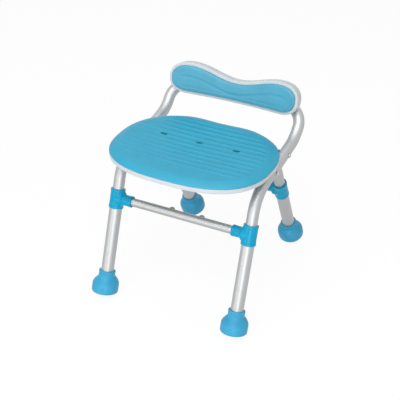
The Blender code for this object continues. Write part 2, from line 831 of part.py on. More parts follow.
def pad_body():
    """The foam pad: rounded sides, a plain border and a dished middle with ribs across it."""
    lines = pad_lines()
    columns = [-1, *[-share for share in reversed(SEAT_COLUMNS)], *SEAT_COLUMNS, 1]
    inner = len(columns)
    right = [turn_at(y) for y, lift in lines]
    left = [2 * pi - turn for turn in reversed(right)]
    front = between(right[-1], left[0], inner)
    rear = between(left[-1], 2 * pi + right[0], inner)
    turns = right + front + left + rear
    bm = bmesh.new()
    rings = []
    for offset, z in pad_profile():
        rings.append([bm.verts.new(seat_place(*outline_at(turn, offset), z)) for turn in turns])
    border = []
    for turn in turns:
        x, y = outline_at(turn, PAD_BORDER)
        border.append(bm.verts.new(seat_place(x, y, pad_surface(x, y))))
    rings.append(border)
    for first, second in zip(rings, rings[1:]):
        bridge(bm, first, second)
    bm.faces.new(rings[0])

    count = len(lines)
    rows = [border[2 * count + inner - 1:] + border[:1]]
    for i, (y, lift) in enumerate(lines):
        reach = outline_at(right[i], PAD_BORDER).x
        row = [border[2 * count + inner - 1 - i]]
        for share in columns:
            x = share * (reach - RIB_RUNOUT)
            row.append(bm.verts.new(seat_place(x, y, pad_surface(x, y) + lift)))
        rows.append(row + [border[i]])
    rows.append(border[count - 1:count + inner + 1][::-1])
    fill_rows(bm, rows)
    return bm


def make_seat_pad(parent):
    pad = mesh_object("seat_pad", pad_body(), parent, FOAM_BLUE)
    for x in (-SLOT_SPACING, 0, SLOT_SPACING):
        cut(pad, slot_prism(x, RIM_TOP - SEAT_WALL, SEAT_TOP + SEAT_WALL))
    return pad


# Seat arms

def stop_pin_in_seat():
    """The stop pin's centre in the seat's own plane."""
    return SEAT_TURN.transposed() @ stop_pin_centre()


def arm_outline():
    """Side view of a seat arm as (y, z) in the seat's plane: nose, rest, eye and lobe down the leg."""
    rest = stop_pin_in_seat().z + STOP_PIN_D / 2 + GAP
    top = PLATE_UNDERSIDE - GAP
    leg_angle = -pi / 2 + REAR_LEAN + SEAT_TILT
    lobe_y = LEG_RIVET_DROP * cos(leg_angle)
    lobe_z = LEG_RIVET_DROP * sin(leg_angle)
    outline = [(ARM_FLANGE_REAR, top), (ARM_FRONT, top), (ARM_FRONT, top - ARM_NOSE_DEPTH)]
    outline += [(stop_pin_in_seat().y - (ARM_REST_REAR - ARM_REST_FRONT) / 2, rest)]
    outline += [(ARM_REST_REAR, rest)]
    outline += arc(lobe_y, lobe_z, ARM_LOBE_R, leg_angle - pi / 2, leg_angle + pi / 2, 8)
    outline += arc(0, 0, ARM_EYE_R, leg_angle + pi / 2, pi / 2 + radians(20), 6)
    return outline


def make_seat_arms(parent):
    """Pressed plates under the seat that turn with the rear legs."""
    top = PLATE_UNDERSIDE - GAP
    for name, side in SIDES:
        def place(y, z, depth):
            return seat_place(mirrored(depth, side), y, z)
        arm = mesh_object("seat_arm_" + name, prism(arm_outline(), ARM_INNER_X, ARM_OUTER_X, place), parent,
                          STEEL)
        flange_inner = ARM_INNER_X - ARM_FLANGE
        corners = [(ARM_FRONT, top - ARM_THICKNESS), (ARM_FLANGE_REAR, top - ARM_THICKNESS),
                   (ARM_FLANGE_REAR, top), (ARM_FRONT, top)]
        cut(arm, prism(corners, flange_inner, ARM_INNER_X + ARM_THICKNESS / 2, place), "UNION")
        inner = Vector((mirrored(ARM_INNER_X - ARM_THICKNESS, side), 0, 0))
        outer = Vector((mirrored(ARM_OUTER_X + ARM_THICKNESS, side), 0, 0))
        cut(arm, drill(inner, outer, PIVOT_PIN_D / 2 + GAP))
        rivet = rear_leg_heading() * LEG_RIVET_DROP
        cut(arm, drill(inner + rivet, outer + rivet, LEG_RIVET_D / 2 + GAP))
        for place_name, y in ARM_SCREWS:
            x = mirrored(ARM_INNER_X - ARM_FLANGE / 2, side)
            below = seat_place(x, y, top - ARM_THICKNESS - GAP)
            above = seat_place(x, y, PLATE_UNDERSIDE + SCREW_DEPTH - GAP)
            start = seat_place(x, y, top - 3 * ARM_THICKNESS)
            cut(arm, drill(start, above, SCREW_D / 2 + GAP))
            down = (below - above).normalized()
            shaft = drill(above, below + down * SCREW_HEAD_HEIGHT / 2, SCREW_D / 2)
            cap = head(below, down, SCREW_HEAD_D / 2, SCREW_HEAD_HEIGHT)
            union_of("seat_screw_" + name + "_" + place_name, [shaft, cap], parent, STEEL)


# Backrest

def back_origin():
    """Middle of the backrest sheet, in front of the frame tube's top."""
    tube = back_tube_axis()
    normal = Vector((0, -cos(BACK_LEAN), sin(BACK_LEAN)))
    upward = Vector((0, sin(BACK_LEAN), cos(BACK_LEAN)))
    return tube + normal * (TUBE_R + BACK_AHEAD_OF_TUBE) + upward * BACK_ABOVE_TUBE


def back_place(x, rise, ahead):
    """A point of the backrest: x across, rise up the sheet, ahead in front of it."""
    normal = Vector((0, -cos(BACK_LEAN), sin(BACK_LEAN)))
    upward = Vector((0, sin(BACK_LEAN), cos(BACK_LEAN)))
    curve = BACK_CURVE_R - sqrt(BACK_CURVE_R ** 2 - x ** 2)
    return back_origin() + Vector((x, 0, 0)) + upward * rise + normal * (curve + ahead)


def back_top(x):
    """Top edge of the pad: two humps with a dip between them, and rounded ends."""
    x = abs(x)
    if x < BACK_END_START:
        return BACK_HUMP - (BACK_HUMP - BACK_DIP) * cos(pi * x / (2 * BACK_END_START)) ** 2
    middle = (BACK_HUMP - BACK_BOTTOM) / 2
    return middle + (BACK_HUMP - middle) * back_end_share(x)


def back_end_share(x):
    """Half height of an end as a share, from 1 where it starts to 0 at its tip."""
    share = min((x - BACK_END_START) / (BACK_HALF_WIDTH - BACK_END_START), 1)
    return (1 - share ** BACK_END_POWER) ** (1 / BACK_END_POWER)


def back_bottom(x):
    """Bottom edge of the pad: straight, with rounded ends."""
    x = abs(x)
    if x < BACK_END_START:
        return -BACK_BOTTOM
    middle = (BACK_HUMP - BACK_BOTTOM) / 2
    return middle - (BACK_BOTTOM + middle) * back_end_share(x)


def crown_lift(share, crown):
    """Lift of a crowned face at a share of the way from its top edge to its bottom edge."""
    return crown * (1 - (2 * share - 1) ** 2)


def back_rows(grow, levels, crown=0.0):
    """Rows of (x, rise, lift) across the backrest face, grown outwards, top row first."""
    rows = [[] for level in range(levels + 1)]
    for i in range(BACK_STATIONS + 1):
        turn = pi * i / BACK_STATIONS - pi / 2
        x = BACK_HALF_WIDTH * sin(turn)
        edges = []
        for edge in (back_top, back_bottom):
            step = 0.0005
            low = max(x - step, -BACK_HALF_WIDTH)
            high = min(x + step, BACK_HALF_WIDTH)
            if abs(x) > BACK_HALF_WIDTH - step:
                outward = Vector((1 if x > 0 else -1, 0))
            else:
                slope = (edge(high) - edge(low)) / (high - low)
                outward = Vector((-slope, 1)).normalized()
                if edge is back_bottom:
                    outward = -outward
            edges.append(Vector((x, edge(x))) + outward * grow)
        for level, row in enumerate(rows):
            share = level / levels
            point = edges[0].lerp(edges[1], share)
            row.append((point.x, point.y, crown_lift(share, crown)))
    return rows


def back_loop(grow):
    """The outline as one closed loop of (x, rise)."""
    rows = back_rows(grow, 1)
    top = rows[0]
    bottom = rows[1][1:-1]
    return [(x, rise) for x, rise, lift in top + bottom[::-1]]


def back_cap(bm, loop, grow, ahead, levels, crown):
    """A face with inner rows that closes a loop of the backrest and follows its curve."""
    rows = back_rows(grow, levels, crown)
    count = BACK_STATIONS
    grid = [loop[:count + 1]]
    for row in rows[1:-1]:
        inner = [bm.verts.new(back_place(x, rise, ahead + lift)) for x, rise, lift in row[1:-1]]
        grid.append([loop[0], *inner, loop[count]])
    grid.append([loop[0], *loop[:count:-1], loop[count]])
    fill_rows(bm, grid)


def back_stack(profile, first_cap, last_cap):
    """A closed body with the backrest's outline, from (grow, ahead) loops and capped at both ends."""
    bm = bmesh.new()
    loops = []
    for grow, ahead in profile:
        loops.append([bm.verts.new(back_place(x, rise, ahead)) for x, rise in back_loop(grow)])
    for first, second in zip(loops, loops[1:]):
        bridge(bm, first, second)
    for loop, (grow, ahead), (levels, crown) in ((loops[0], profile[0], first_cap),
                                                 (loops[-1], profile[-1], last_cap)):
        back_cap(bm, loop, grow, ahead, levels, crown)
    return bm


def backrest_screw_line(side):
    """Axis of a backrest screw: a point on the tube's axis and the way the screw points."""
    middle = back_tube_axis()
    start = middle + Vector((mirrored(BACK_SCREW_HALF_SPACING, side), 0, 0))
    return start, Vector((0, -cos(BACK_LEAN), sin(BACK_LEAN)))


def backrest_screw_hole(side):
    centre, heading = backrest_screw_line(side)
    return drill(centre - heading * 2 * TUBE_R, centre + heading * 2 * TUBE_R, BACK_SCREW_D / 2 + GAP)


def backrest_screw_end(side):
    """How far a backrest screw reaches in front of the tube's axis."""
    curve = BACK_CURVE_R - sqrt(BACK_CURVE_R ** 2 - BACK_SCREW_HALF_SPACING ** 2)
    return TUBE_R + BACK_AHEAD_OF_TUBE + curve - BACK_SHELL_WALL / 2


def make_backrest_shell(parent):
    """The moulded shell: a curved front wall with a deep rim, open behind where the tube lies in it."""
    edge = BACK_SHELL_EDGE
    profile = [
        (BACK_LEDGE - BACK_SHELL_WALL, -BACK_SHELL_WALL),
        (BACK_LEDGE - BACK_SHELL_WALL, -BACK_SHELL_DEPTH),
        (BACK_LEDGE - edge / 2, -BACK_SHELL_DEPTH),
        (BACK_LEDGE, -BACK_SHELL_DEPTH + edge),
        (BACK_LEDGE, -edge),
        (BACK_LEDGE - edge / 3, -edge / 3),
        (BACK_LEDGE - edge, 0),
    ]
    shell = mesh_object("backrest_shell", back_stack(profile, (1, 0), (1, 0)), parent, SHELL_WHITE)
    for name, side in SIDES:
        centre, heading = backrest_screw_line(side)
        front = centre + heading * (backrest_screw_end(side) - GAP)
        cut(shell, rod(centre, front, BACK_BOSS_D / 2, sides=HOLE_SIDES), "UNION")
    cut(shell, swept(frame_path(), TUBE_R + BACK_TUBE_CLEARANCE))
    for name, side in SIDES:
        centre, heading = backrest_screw_line(side)
        end = centre + heading * backrest_screw_end(side)
        cut(shell, drill(centre - heading * TUBE_R, end, BACK_SCREW_D / 2 + GAP))
    return shell


def make_backrest_pad(parent):
    """The foam pad on the shell's front, with a shallow channel that follows its wavy top edge."""
    profile = [
        (0, GAP),
        (0, BACK_PAD_SIDE_HEIGHT),
        (-BACK_PAD_SHOULDER, BACK_PAD_SHOULDER_HEIGHT),
        (-BACK_PAD_ROUND, BACK_PAD_THICKNESS),
    ]
    body = back_stack(profile, (1, 0), (4, BACK_PAD_CROWN))
    pad = mesh_object("backrest_pad", body, parent, FOAM_BLUE)
    path = []
    steps = 20
    for i in range(steps + 1):
        x = BACK_CHANNEL_HALF_LENGTH * (2 * i / steps - 1)
        share = BACK_CHANNEL_DROP / (back_top(x) - back_bottom(x))
        surface = BACK_PAD_THICKNESS + crown_lift(share, BACK_PAD_CROWN)
        ahead = surface + BACK_CHANNEL_R - BACK_CHANNEL_DEPTH
        path.append(back_place(x, back_top(x) - BACK_CHANNEL_DROP, ahead))
    cut(pad, swept(path, BACK_CHANNEL_R, sides=10))
    return pad


def make_backrest_screws(parent):
    for name, side in SIDES:
        centre, heading = backrest_screw_line(side)
        back = centre - heading * (TUBE_R + GAP)
        tip = centre + heading * (backrest_screw_end(side) - GAP)
        shaft = drill(back, tip, BACK_SCREW_D / 2)
        cap = head(back, -heading, BACK_SCREW_HEAD_D / 2, BACK_SCREW_HEAD_HEIGHT)
        union_of("backrest_screw_" + name, [shaft, cap], parent, STEEL)


# Whole chair

def centre_on_footprint(roots):
    """Move the chair so that its bounding box stands centred on the origin."""
    bpy.context.view_layer.update()
    graph = bpy.context.evaluated_depsgraph_get()
    low = [1e9, 1e9]
    high = [-1e9, -1e9]
    for item in bpy.context.scene.objects:
        if item.type != "MESH" or item.hide_render:
            continue
        shown = item.evaluated_get(graph)
        for vert in shown.data.vertices:
            spot = shown.matrix_world @ vert.co
            for k in range(2):
                low[k] = min(low[k], spot[k])
                high[k] = max(high[k], spot[k])
    for root in roots:
        root.location.x -= (low[0] + high[0]) / 2
        root.location.y -= (low[1] + high[1]) / 2


def build():
    clear_scene()
    frame = empty("frame_at_pivot", PIVOT)
    fold = empty("fold_pivot", PIVOT)
    make_frame_tube(frame)
    make_front_legs(frame)
    make_pins(frame)
    make_backrest_shell(frame)
    make_backrest_pad(frame)
    make_backrest_screws(frame)
    make_rear_legs(fold)
    make_seat_shell(fold)
    make_seat_pad(fold)
    make_seat_arms(fold)
    centre_on_footprint([frame, fold])


build()
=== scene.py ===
"""Detailed pieces, materials, light and camera for the folding shower chair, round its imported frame."""

from math import cos, pi, radians, sin, sqrt, tan

import bmesh
import bpy
from mathutils import Matrix, Vector


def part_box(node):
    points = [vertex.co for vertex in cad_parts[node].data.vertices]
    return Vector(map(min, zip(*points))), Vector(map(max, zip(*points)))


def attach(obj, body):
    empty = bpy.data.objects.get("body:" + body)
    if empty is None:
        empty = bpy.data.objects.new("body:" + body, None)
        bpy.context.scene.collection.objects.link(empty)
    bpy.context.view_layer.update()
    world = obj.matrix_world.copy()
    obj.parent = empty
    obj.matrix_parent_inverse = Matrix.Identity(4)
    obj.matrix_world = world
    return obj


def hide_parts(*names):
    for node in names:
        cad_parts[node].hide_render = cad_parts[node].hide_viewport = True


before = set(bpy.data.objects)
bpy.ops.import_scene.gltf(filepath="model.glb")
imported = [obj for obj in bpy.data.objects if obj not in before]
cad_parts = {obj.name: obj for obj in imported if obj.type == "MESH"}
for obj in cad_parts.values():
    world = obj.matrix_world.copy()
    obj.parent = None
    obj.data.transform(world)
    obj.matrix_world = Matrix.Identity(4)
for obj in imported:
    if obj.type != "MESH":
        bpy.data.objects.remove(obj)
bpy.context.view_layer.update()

FRAME_BODY = "frame"
FOLD_BODY = "folding_seat_and_rear_legs"
SIDES = (("left", -1), ("right", 1))

# Sizes of the frame, in metres, with its lines measured from the pivot

TUBE_R = 0.0127
LEG_R = 0.0143
CROSSBAR_R = 0.0095
WALL = 0.0013
HALF_WIDTH = 0.1624
FRONT_LEAN = radians(20.8)
RUN_RISE = radians(7.55)
BACK_RISE = radians(47.0)
RUN_FORWARD = 0.1476
RUN_BACK = 0.0592
BACK_LENGTH = 0.0721
RUN_BEND_R = 0.070
TOP_BEND_R = 0.045
REAR_LEAN = radians(23.8)
REAR_LEG_X = 0.1344
REAR_LEG_ABOVE_PIVOT = 0.009
LEG_OVERLAP = 0.060
FRONT_TEE_LENGTH = 0.0446
REAR_TEE_LENGTH = 0.0450
TEE_R = 0.0166
STUB_REACH = 0.0400
STUB_R = 0.0128
CROSSBAR_IN_STUB = 0.0200
LEG_TOP_IN_TEE = 0.0080
FRONT_CROSSBAR_HEIGHT = 0.2143
REAR_CROSSBAR_DROP = 0.1440
GAP = 0.0003

# Sizes of the pins and rivets

PIVOT_PIN_R = 0.0030
STOP_PIN_R = 0.0040
STOP_PIN_SPACING = 0.0668
LEG_RIVET_R = 0.0025
LEG_RIVET_DROP = 0.0340

# Sizes of the feet

FOOT_LENGTH = 0.0510
FOOT_R = 0.0302
NECK_R = 0.0190
NECK_LENGTH = 0.0150
SHOULDER_LENGTH = 0.0170
FOOT_CORNER_R = 0.0045
FOOT_BOTTOM = 0.0120
SOLE_CUT = 0.0030

# Sizes of the seat

SEAT_TILT = radians(2.0)
SEAT_TOP = 0.0328
PAD_HEIGHT = 0.0098
RIM_HEIGHT = 0.0106
SEAT_HALF_WIDTH = 0.1835
SEAT_WIDEST = -0.1127
SEAT_FRONT_DEPTH = 0.1407
SEAT_REAR_DEPTH = 0.1453
SEAT_FRONT_POWER = 2.6
SEAT_REAR_POWER = 2.33
SEAT_REAR_DIP = 0.0090
SEAT_WALL = 0.0030
PAD_EDGE_R = 0.0220
PAD_EDGE_POWER = 1.6
PAD_UPRIGHT = 0.0015
PAD_DISH = 0.0030
PAD_BORDER = 0.0240
RIB_COUNT = 12
RIB_PITCH = 0.0169
RIB_REARMOST = -0.0030
RIB_WIDTH = 0.0110
RIB_RISE = 0.0010
RIB_RUNOUT = 0.0100
SLOT_LENGTH = 0.0160
SLOT_WIDTH = 0.0092
SLOT_SPACING = 0.0874
SLOT_LINE = -0.0867
SLOT_PLACES = (-SLOT_SPACING, 0, SLOT_SPACING)
TRAY_RIB_LINES = (-0.2050, -0.1500, -0.0550)
TRAY_RIB_HEIGHT = 0.0070
TRAY_RIB_THICKNESS = 0.0025
TRAY_RIB_END_GAP = 0.0070
LEG_NOTCH_CLEARANCE = 0.0020
ARM_INNER_X = 0.1194
ARM_FLANGE = 0.0180
ARM_SCREW_LINES = (-0.1700, -0.1050, -0.0300)
SCREW_R = 0.0020
SCREW_DEPTH = 0.0025

# Sizes of the backrest

BACK_AHEAD_OF_TUBE = 0.0056
BACK_ABOVE_TUBE = 0.0073
BACK_LEAN = radians(16.0)
BACK_CURVE_R = 0.6400
BACK_HALF_WIDTH = 0.1520
BACK_END_START = 0.1120
BACK_END_POWER = 2.4
BACK_HUMP = 0.0400
BACK_DIP = 0.0188
BACK_BOTTOM = 0.0188
BACK_PAD_THICKNESS = 0.0070
BACK_LEDGE = 0.0070
BACK_SHELL_DEPTH = 0.0230
BACK_SHELL_WALL = 0.0030

washer_low, washer_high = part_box("pivot_washer_left")
PIVOT = Vector((0, (washer_low.y + washer_high.y) / 2, (washer_low.z + washer_high.z) / 2))


# Mesh helpers

ROUND_SIDES = 48
BORE_SIDES = 64
BEND_STEP = radians(3)
NEARLY_SIDEWAYS = 0.9


def quarter_turn(steps):
    """Angles from 0 to a quarter turn."""
    return [i / steps * pi / 2 for i in range(steps + 1)]


def square_to(heading):
    """A direction square to a heading."""
    helper = Vector((1, 0, 0)) if abs(heading.x) < NEARLY_SIDEWAYS else Vector((0, 0, 1))
    return heading.cross(helper).normalized()


def ring(centre, across, along, radius, sides):
    return [centre + radius * (cos(2 * pi * i / sides) * across + sin(2 * pi * i / sides) * along)
            for i in range(sides)]


def bridge(bm, first, second):
    """Faces between two rings of vertices with equal counts."""
    count = len(first)
    return [bm.faces.new((first[i], first[(i + 1) % count], second[(i + 1) % count], second[i]))
            for i in range(count)]


def stacked(bm, rings):
    """A closed skin through rings of points, flat at both ends."""
    loops = [[bm.verts.new(point) for point in points] for points in rings]
    for first, second in zip(loops, loops[1:]):
        bridge(bm, first, second)
    bm.faces.new(loops[0])
    bm.faces.new(loops[-1])
    return bm


def path_frames(path):
    """Two directions square to a path at each point, carried along it without twist."""
    frames = []
    across = None
    for i in range(len(path)):
        heading = (path[min(i + 1, len(path) - 1)] - path[max(i - 1, 0)]).normalized()
        if across is None:
            across = square_to(heading)
        across = (across - across.dot(heading) * heading).normalized()
        frames.append((across, heading.cross(across)))
    return frames


def swept(path, radius, bore=0.0, sides=ROUND_SIDES):
    """A round bar along a path, or a tube where it has a bore radius, with metres round and along as UV."""
    bm = bmesh.new()
    layer = bm.loops.layers.uv.new("metres")
    frames = path_frames(path)
    travelled = [0.0]
    for before, after in zip(path, path[1:]):
        travelled.append(travelled[-1] + (after - before).length)
    skins = []
    for skin_radius in (radius, bore) if bore else (radius,):
        rings = [[bm.verts.new(p) for p in ring(path[i], a, b, skin_radius, sides)]
                 for i, (a, b) in enumerate(frames)]
        for i in range(len(rings) - 1):
            for j, face in enumerate(bridge(bm, rings[i], rings[i + 1])):
                for loop, (round_step, long_step) in zip(face.loops, ((0, 0), (1, 0), (1, 1), (0, 1))):
                    around = 2 * pi * skin_radius * (j + round_step) / sides
                    loop[layer].uv = (around, travelled[i + long_step])
        skins.append(rings)
    for end in (0, -1):
        if bore:
            bridge(bm, skins[0][end], skins[1][end])
        else:
            bm.faces.new(skins[0][end])
    return bm


def rounded_path(corners, radii):
    """A path through the corners with an arc of the given radius at each inner one."""
    path = [corners[0]]
    for before, corner, after, radius in zip(corners, corners[1:], corners[2:], radii):
        arrive = (corner - before).normalized()
        leave = (after - corner).normalized()
        turn = arrive.angle(leave)
        start = corner - arrive * radius * tan(turn / 2)
        centre = start + radius * (leave - leave.dot(arrive) * arrive).normalized()
        spoke = start - centre
        steps = max(2, round(turn / BEND_STEP))
        for i in range(steps + 1):
            angle = turn * i / steps
            path.append(centre + cos(angle) * spoke + sin(angle) * radius * arrive)
    path.append(corners[-1])
    return path


def rod(start, end, radius, bore=0.0, sides=ROUND_SIDES):
    return swept([Vector(start), Vector(end)], radius, bore, sides)


def box_mesh(low, high):
    bm = bmesh.new()
    bmesh.ops.create_cube(bm, size=1)
    low, high = Vector(low), Vector(high)
    for vert in bm.verts:
        vert.co = [low[k] + (vert.co[k] + 0.5) * (high[k] - low[k]) for k in range(3)]
    return bm


def new_object(name, bm):
    """An object from a mesh given from the pivot; its place is in its vertices."""
    bmesh.ops.recalc_face_normals(bm, faces=bm.faces)
    bm.transform(Matrix.Translation(PIVOT))
    mesh = bpy.data.meshes.new(name)
    bm.to_mesh(mesh)
    bm.free()
    made = bpy.data.objects.new(name, mesh)
    bpy.context.scene.collection.objects.link(made)
    return made


def combine(target, bm, operation):
    """Change target by a Boolean with a body, which goes."""
    other = new_object("tool", bm)
    step = target.modifiers.new("step", "BOOLEAN")
    step.operation = operation
    step.solver = "EXACT"
    step.object = other
    bake(target)
    bpy.data.objects.remove(other, do_unlink=True)


def cut(target, bm):
    combine(target, bm, "DIFFERENCE")


def join(target, bm):
    combine(target, bm, "UNION")


def bake(target):
    """Apply the object's modifiers."""
    graph = bpy.context.evaluated_depsgraph_get()
    mesh = bpy.data.meshes.new_from_object(target.evaluated_get(graph))
    target.modifiers.clear()
    old = target.data
    target.data = mesh
    bpy.data.meshes.remove(old)


def shown(made, body, look, nodes, sharp=32):
    """A finished piece: it rides on a body, stands for CAD nodes and has a material."""
    made.data.materials.clear()
    made.data.materials.append(look)
    made.data.shade_smooth()
    made.data.set_sharp_from_angle(angle=radians(sharp))
    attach(made, body)
    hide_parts(*nodes)


# Materials

MIX_FACTOR = 0
MIX_FIRST = 6
MIX_SECOND = 7
MIX_RESULT = 2
NOISE_LOW = 0.3
NOISE_HIGH = 0.7
EDGE_START = 0.52
EDGE_FULL = 0.60
EDGE_WEAR = 0.35
EDGE_PALER = 1.25


def add(tree, kind, inputs=(), **settings):
    """A node with its settings and input values; an input value that is a socket is linked."""
    node = tree.nodes.new(kind)
    for key, value in settings.items():
        setattr(node, key, value)
    for key, value in dict(inputs).items():
        if isinstance(value, bpy.types.NodeSocket):
            tree.links.new(value, node.inputs[key])
        else:
            node.inputs[key].default_value = value
    return node


def new_look(name, fixed):
    """A material, its node tree and its shader with the fixed values set."""
    made = bpy.data.materials.new(name)
    made.use_nodes = True
    tree = made.node_tree
    shader = tree.nodes["Principled BSDF"]
    for key, value in fixed.items():
        shader.inputs[key].default_value = value
    return made, tree, shader


def noise(tree, vector, scale, detail=3.0, roughness=0.5):
    inputs = {"Vector": vector, "Scale": scale, "Detail": detail, "Roughness": roughness}
    return add(tree, "ShaderNodeTexNoise", inputs).outputs["Fac"]


def spread_from(tree, value, start, end, low, high):
    inputs = {"Value": value, "From Min": start, "From Max": end, "To Min": low, "To Max": high}
    return add(tree, "ShaderNodeMapRange", inputs).outputs["Result"]


def spread(tree, value, low, high):
    """A noise value spread between two limits."""
    return spread_from(tree, value, NOISE_LOW, NOISE_HIGH, low, high)


def tint(tree, factor, first, second):
    """A colour between two, which are colours or sockets, by a factor."""
    node = tree.nodes.new("ShaderNodeMix")
    node.data_type = "RGBA"
    tree.links.new(factor, node.inputs[MIX_FACTOR])
    for place, value in ((MIX_FIRST, first), (MIX_SECOND, second)):
        if isinstance(value, bpy.types.NodeSocket):
            tree.links.new(value, node.inputs[place])
        else:
            node.inputs[place].default_value = (*value, 1)
    return node.outputs[MIX_RESULT]


def bumped(tree, shader, layers):
    """Bump from (height, strength, distance) layers, chained."""
    normal = None
    for height, strength, distance in layers:
        inputs = {"Height": height, "Strength": strength, "Distance": distance}
        if normal is not None:
            inputs["Normal"] = normal
        normal = add(tree, "ShaderNodeBump", inputs).outputs["Normal"]
    tree.links.new(normal, shader.inputs["Normal"])


def scaled(colour, factor):
    return tuple(min(1.0, channel * factor) for channel in colour)


def moulded(name, colour, roughness, grain, variation=0.05, grain_depth=0.00004, specular=0.5):
    """A moulded surface: soft colour drift, a fine grain and worn, paler edges."""
    made, tree, shader = new_look(name, {"Specular IOR Level": specular})
    place = add(tree, "ShaderNodeTexCoord").outputs["Object"]
    drift = spread(tree, noise(tree, place, scale=28.0, detail=4.0), 0, 1)
    base = tint(tree, drift, scaled(colour, 1 - variation), scaled(colour, 1 + variation))
    point = add(tree, "ShaderNodeNewGeometry").outputs["Pointiness"]
    edge = spread_from(tree, point, EDGE_START, EDGE_FULL, 0.0, EDGE_WEAR)
    tree.links.new(tint(tree, edge, base, scaled(colour, EDGE_PALER)), shader.inputs["Base Color"])
    smudge = noise(tree, place, scale=90.0, detail=5.0)
    tree.links.new(spread(tree, smudge, roughness - 0.05, roughness + 0.06), shader.inputs["Roughness"])
    fine = noise(tree, place, scale=grain, detail=2.0)
    coarse = noise(tree, place, scale=120.0)
    bumped(tree, shader, [(coarse, 0.25, 0.00025), (fine, 0.35, grain_depth)])
    return made


def foam(name, colour):
    """Closed-cell foam with a fine pebbled skin."""
    made, tree, shader = new_look(name, {"Specular IOR Level": 0.62})
    place = add(tree, "ShaderNodeTexCoord").outputs["Object"]
    drift = noise(tree, place, scale=22.0, detail=5.0, roughness=0.6)
    pores = noise(tree, place, scale=1300.0, detail=4.0, roughness=0.7)
    base = tint(tree, spread(tree, drift, 0, 1), scaled(colour, 0.95), scaled(colour, 1.06))
    pitted = tint(tree, spread(tree, pores, 0, 0.25), base, scaled(colour, 0.85))
    tree.links.new(pitted, shader.inputs["Base Color"])
    smudge = noise(tree, place, scale=150.0, detail=4.0)
    tree.links.new(spread(tree, smudge, 0.42, 0.54), shader.inputs["Roughness"])
    swell = noise(tree, place, scale=60.0)
    bumped(tree, shader, [(swell, 0.3, 0.0005), (pores, 0.30, 0.00010)])
    return made


def anodised(name, colour):
    """Satin anodised aluminium tube with faint drawing lines along it."""
    made, tree, shader = new_look(name, {"Metallic": 1.0})
    flat = add(tree, "ShaderNodeUVMap", uv_map="metres").outputs["UV"]
    stretched = add(tree, "ShaderNodeMapping", {"Vector": flat, "Scale": (2600.0, 25.0, 1.0)})
    lines = noise(tree, stretched.outputs["Vector"], scale=1.0, detail=4.0)
    place = add(tree, "ShaderNodeTexCoord").outputs["Object"]
    cloud = noise(tree, place, scale=35.0, detail=4.0)
    both = add(tree, "ShaderNodeMath", {0: spread(tree, lines, 0, 0.6), 1: spread(tree, cloud, 0, 0.4)},
               operation="ADD").outputs["Value"]
    base = tint(tree, both, scaled(colour, 0.98), scaled(colour, 1.02))
    tree.links.new(base, shader.inputs["Base Color"])
    tree.links.new(spread(tree, lines, 0.47, 0.53), shader.inputs["Roughness"])
    fine = noise(tree, place, scale=2400.0, detail=2.0)
    bumped(tree, shader, [(lines, 0.05, 0.00002), (fine, 0.10, 0.00002)])
    return made


def steel(name, darker, paler):
    """Bright zinc-plated steel with a mottled gloss."""
    made, tree, shader = new_look(name, {"Metallic": 1.0})
    place = add(tree, "ShaderNodeTexCoord").outputs["Object"]
    cloud = noise(tree, place, scale=160.0, detail=5.0)
    tree.links.new(tint(tree, spread(tree, cloud, 0, 1), darker, paler), shader.inputs["Base Color"])
    gloss = noise(tree, place, scale=500.0, detail=4.0)
    tree.links.new(spread(tree, gloss, 0.26, 0.42), shader.inputs["Roughness"])
    bumped(tree, shader, [(noise(tree, place, scale=1500.0), 0.15, 0.00004)])
    return made


FOAM_BLUE = (0.006, 0.300, 0.460)
# Backrest foam: the seat foam's colour made greyer and redder, a painted sheen that stands for light
# reflected off the backrest's face.
BACK_FOAM_PAINTED_SHEEN_BLUE = (0.046, 0.300, 0.430)
# Slot-wall foam: the seat foam's colour made darker, painted shade for the inside of the drain slots.
SLOT_FOAM_PAINTED_SHADE_BLUE = (0.001, 0.290, 0.390)
MOULDED_BLUE = (0.001, 0.282, 0.465)
RUBBER_BLUE = (0.032, 0.303, 0.500)
SHELL_WHITE = (0.490, 0.534, 0.558)
BUFFER_YELLOW = (0.330, 0.290, 0.090)
ALUMINIUM = (0.470, 0.478, 0.482)
DARKER_ZINC = (0.50, 0.50, 0.49)
PALER_ZINC = (0.62, 0.62, 0.61)

LOOKS = {
    "foam": foam("blue_foam", FOAM_BLUE),
    # Foam copy with painted shade for the slot walls.
    "slot_foam_painted_shade": foam("blue_foam_slot_painted_shade", SLOT_FOAM_PAINTED_SHADE_BLUE),
    # Foam copy with a painted sheen for the backrest pad.
    "back_foam_painted_sheen": foam("blue_foam_back_painted_sheen", BACK_FOAM_PAINTED_SHEEN_BLUE),
    "tee": moulded("blue_plastic", MOULDED_BLUE, roughness=0.24, grain=1800.0, specular=0.18),
    "foot": moulded("blue_rubber", RUBBER_BLUE, roughness=0.40, grain=1400.0, variation=0.07,
                    grain_depth=0.00006, specular=0.30),
    "shell": moulded("white_plastic", SHELL_WHITE, roughness=0.36, grain=1600.0, variation=0.02),
    "buffer": moulded("yellow_rubber", BUFFER_YELLOW, roughness=0.52, grain=1500.0, variation=0.08),
    "tube": anodised("anodised_tube", ALUMINIUM),
    "steel": steel("zinc_steel", DARKER_ZINC, PALER_ZINC),
}


# Lines of the frame

def side_corners(side):
    """Corners of the side tube from the front leg to the middle of the top bend."""
    run = Vector((0, cos(RUN_RISE), sin(RUN_RISE)))
    x = Vector((HALF_WIDTH * side, 0, 0))
    rear = x + run * RUN_BACK
    return x - run * RUN_FORWARD, rear, rear + BACK_LENGTH * Vector((0, cos(BACK_RISE), sin(BACK_RISE)))


def front_leg_point(side, height):
    """Point on the front leg's axis at a height above the floor."""
    front = side_corners(side)[0]
    drop = PIVOT.z + front.z - height
    return front + Vector((0, -drop * tan(FRONT_LEAN), -drop))


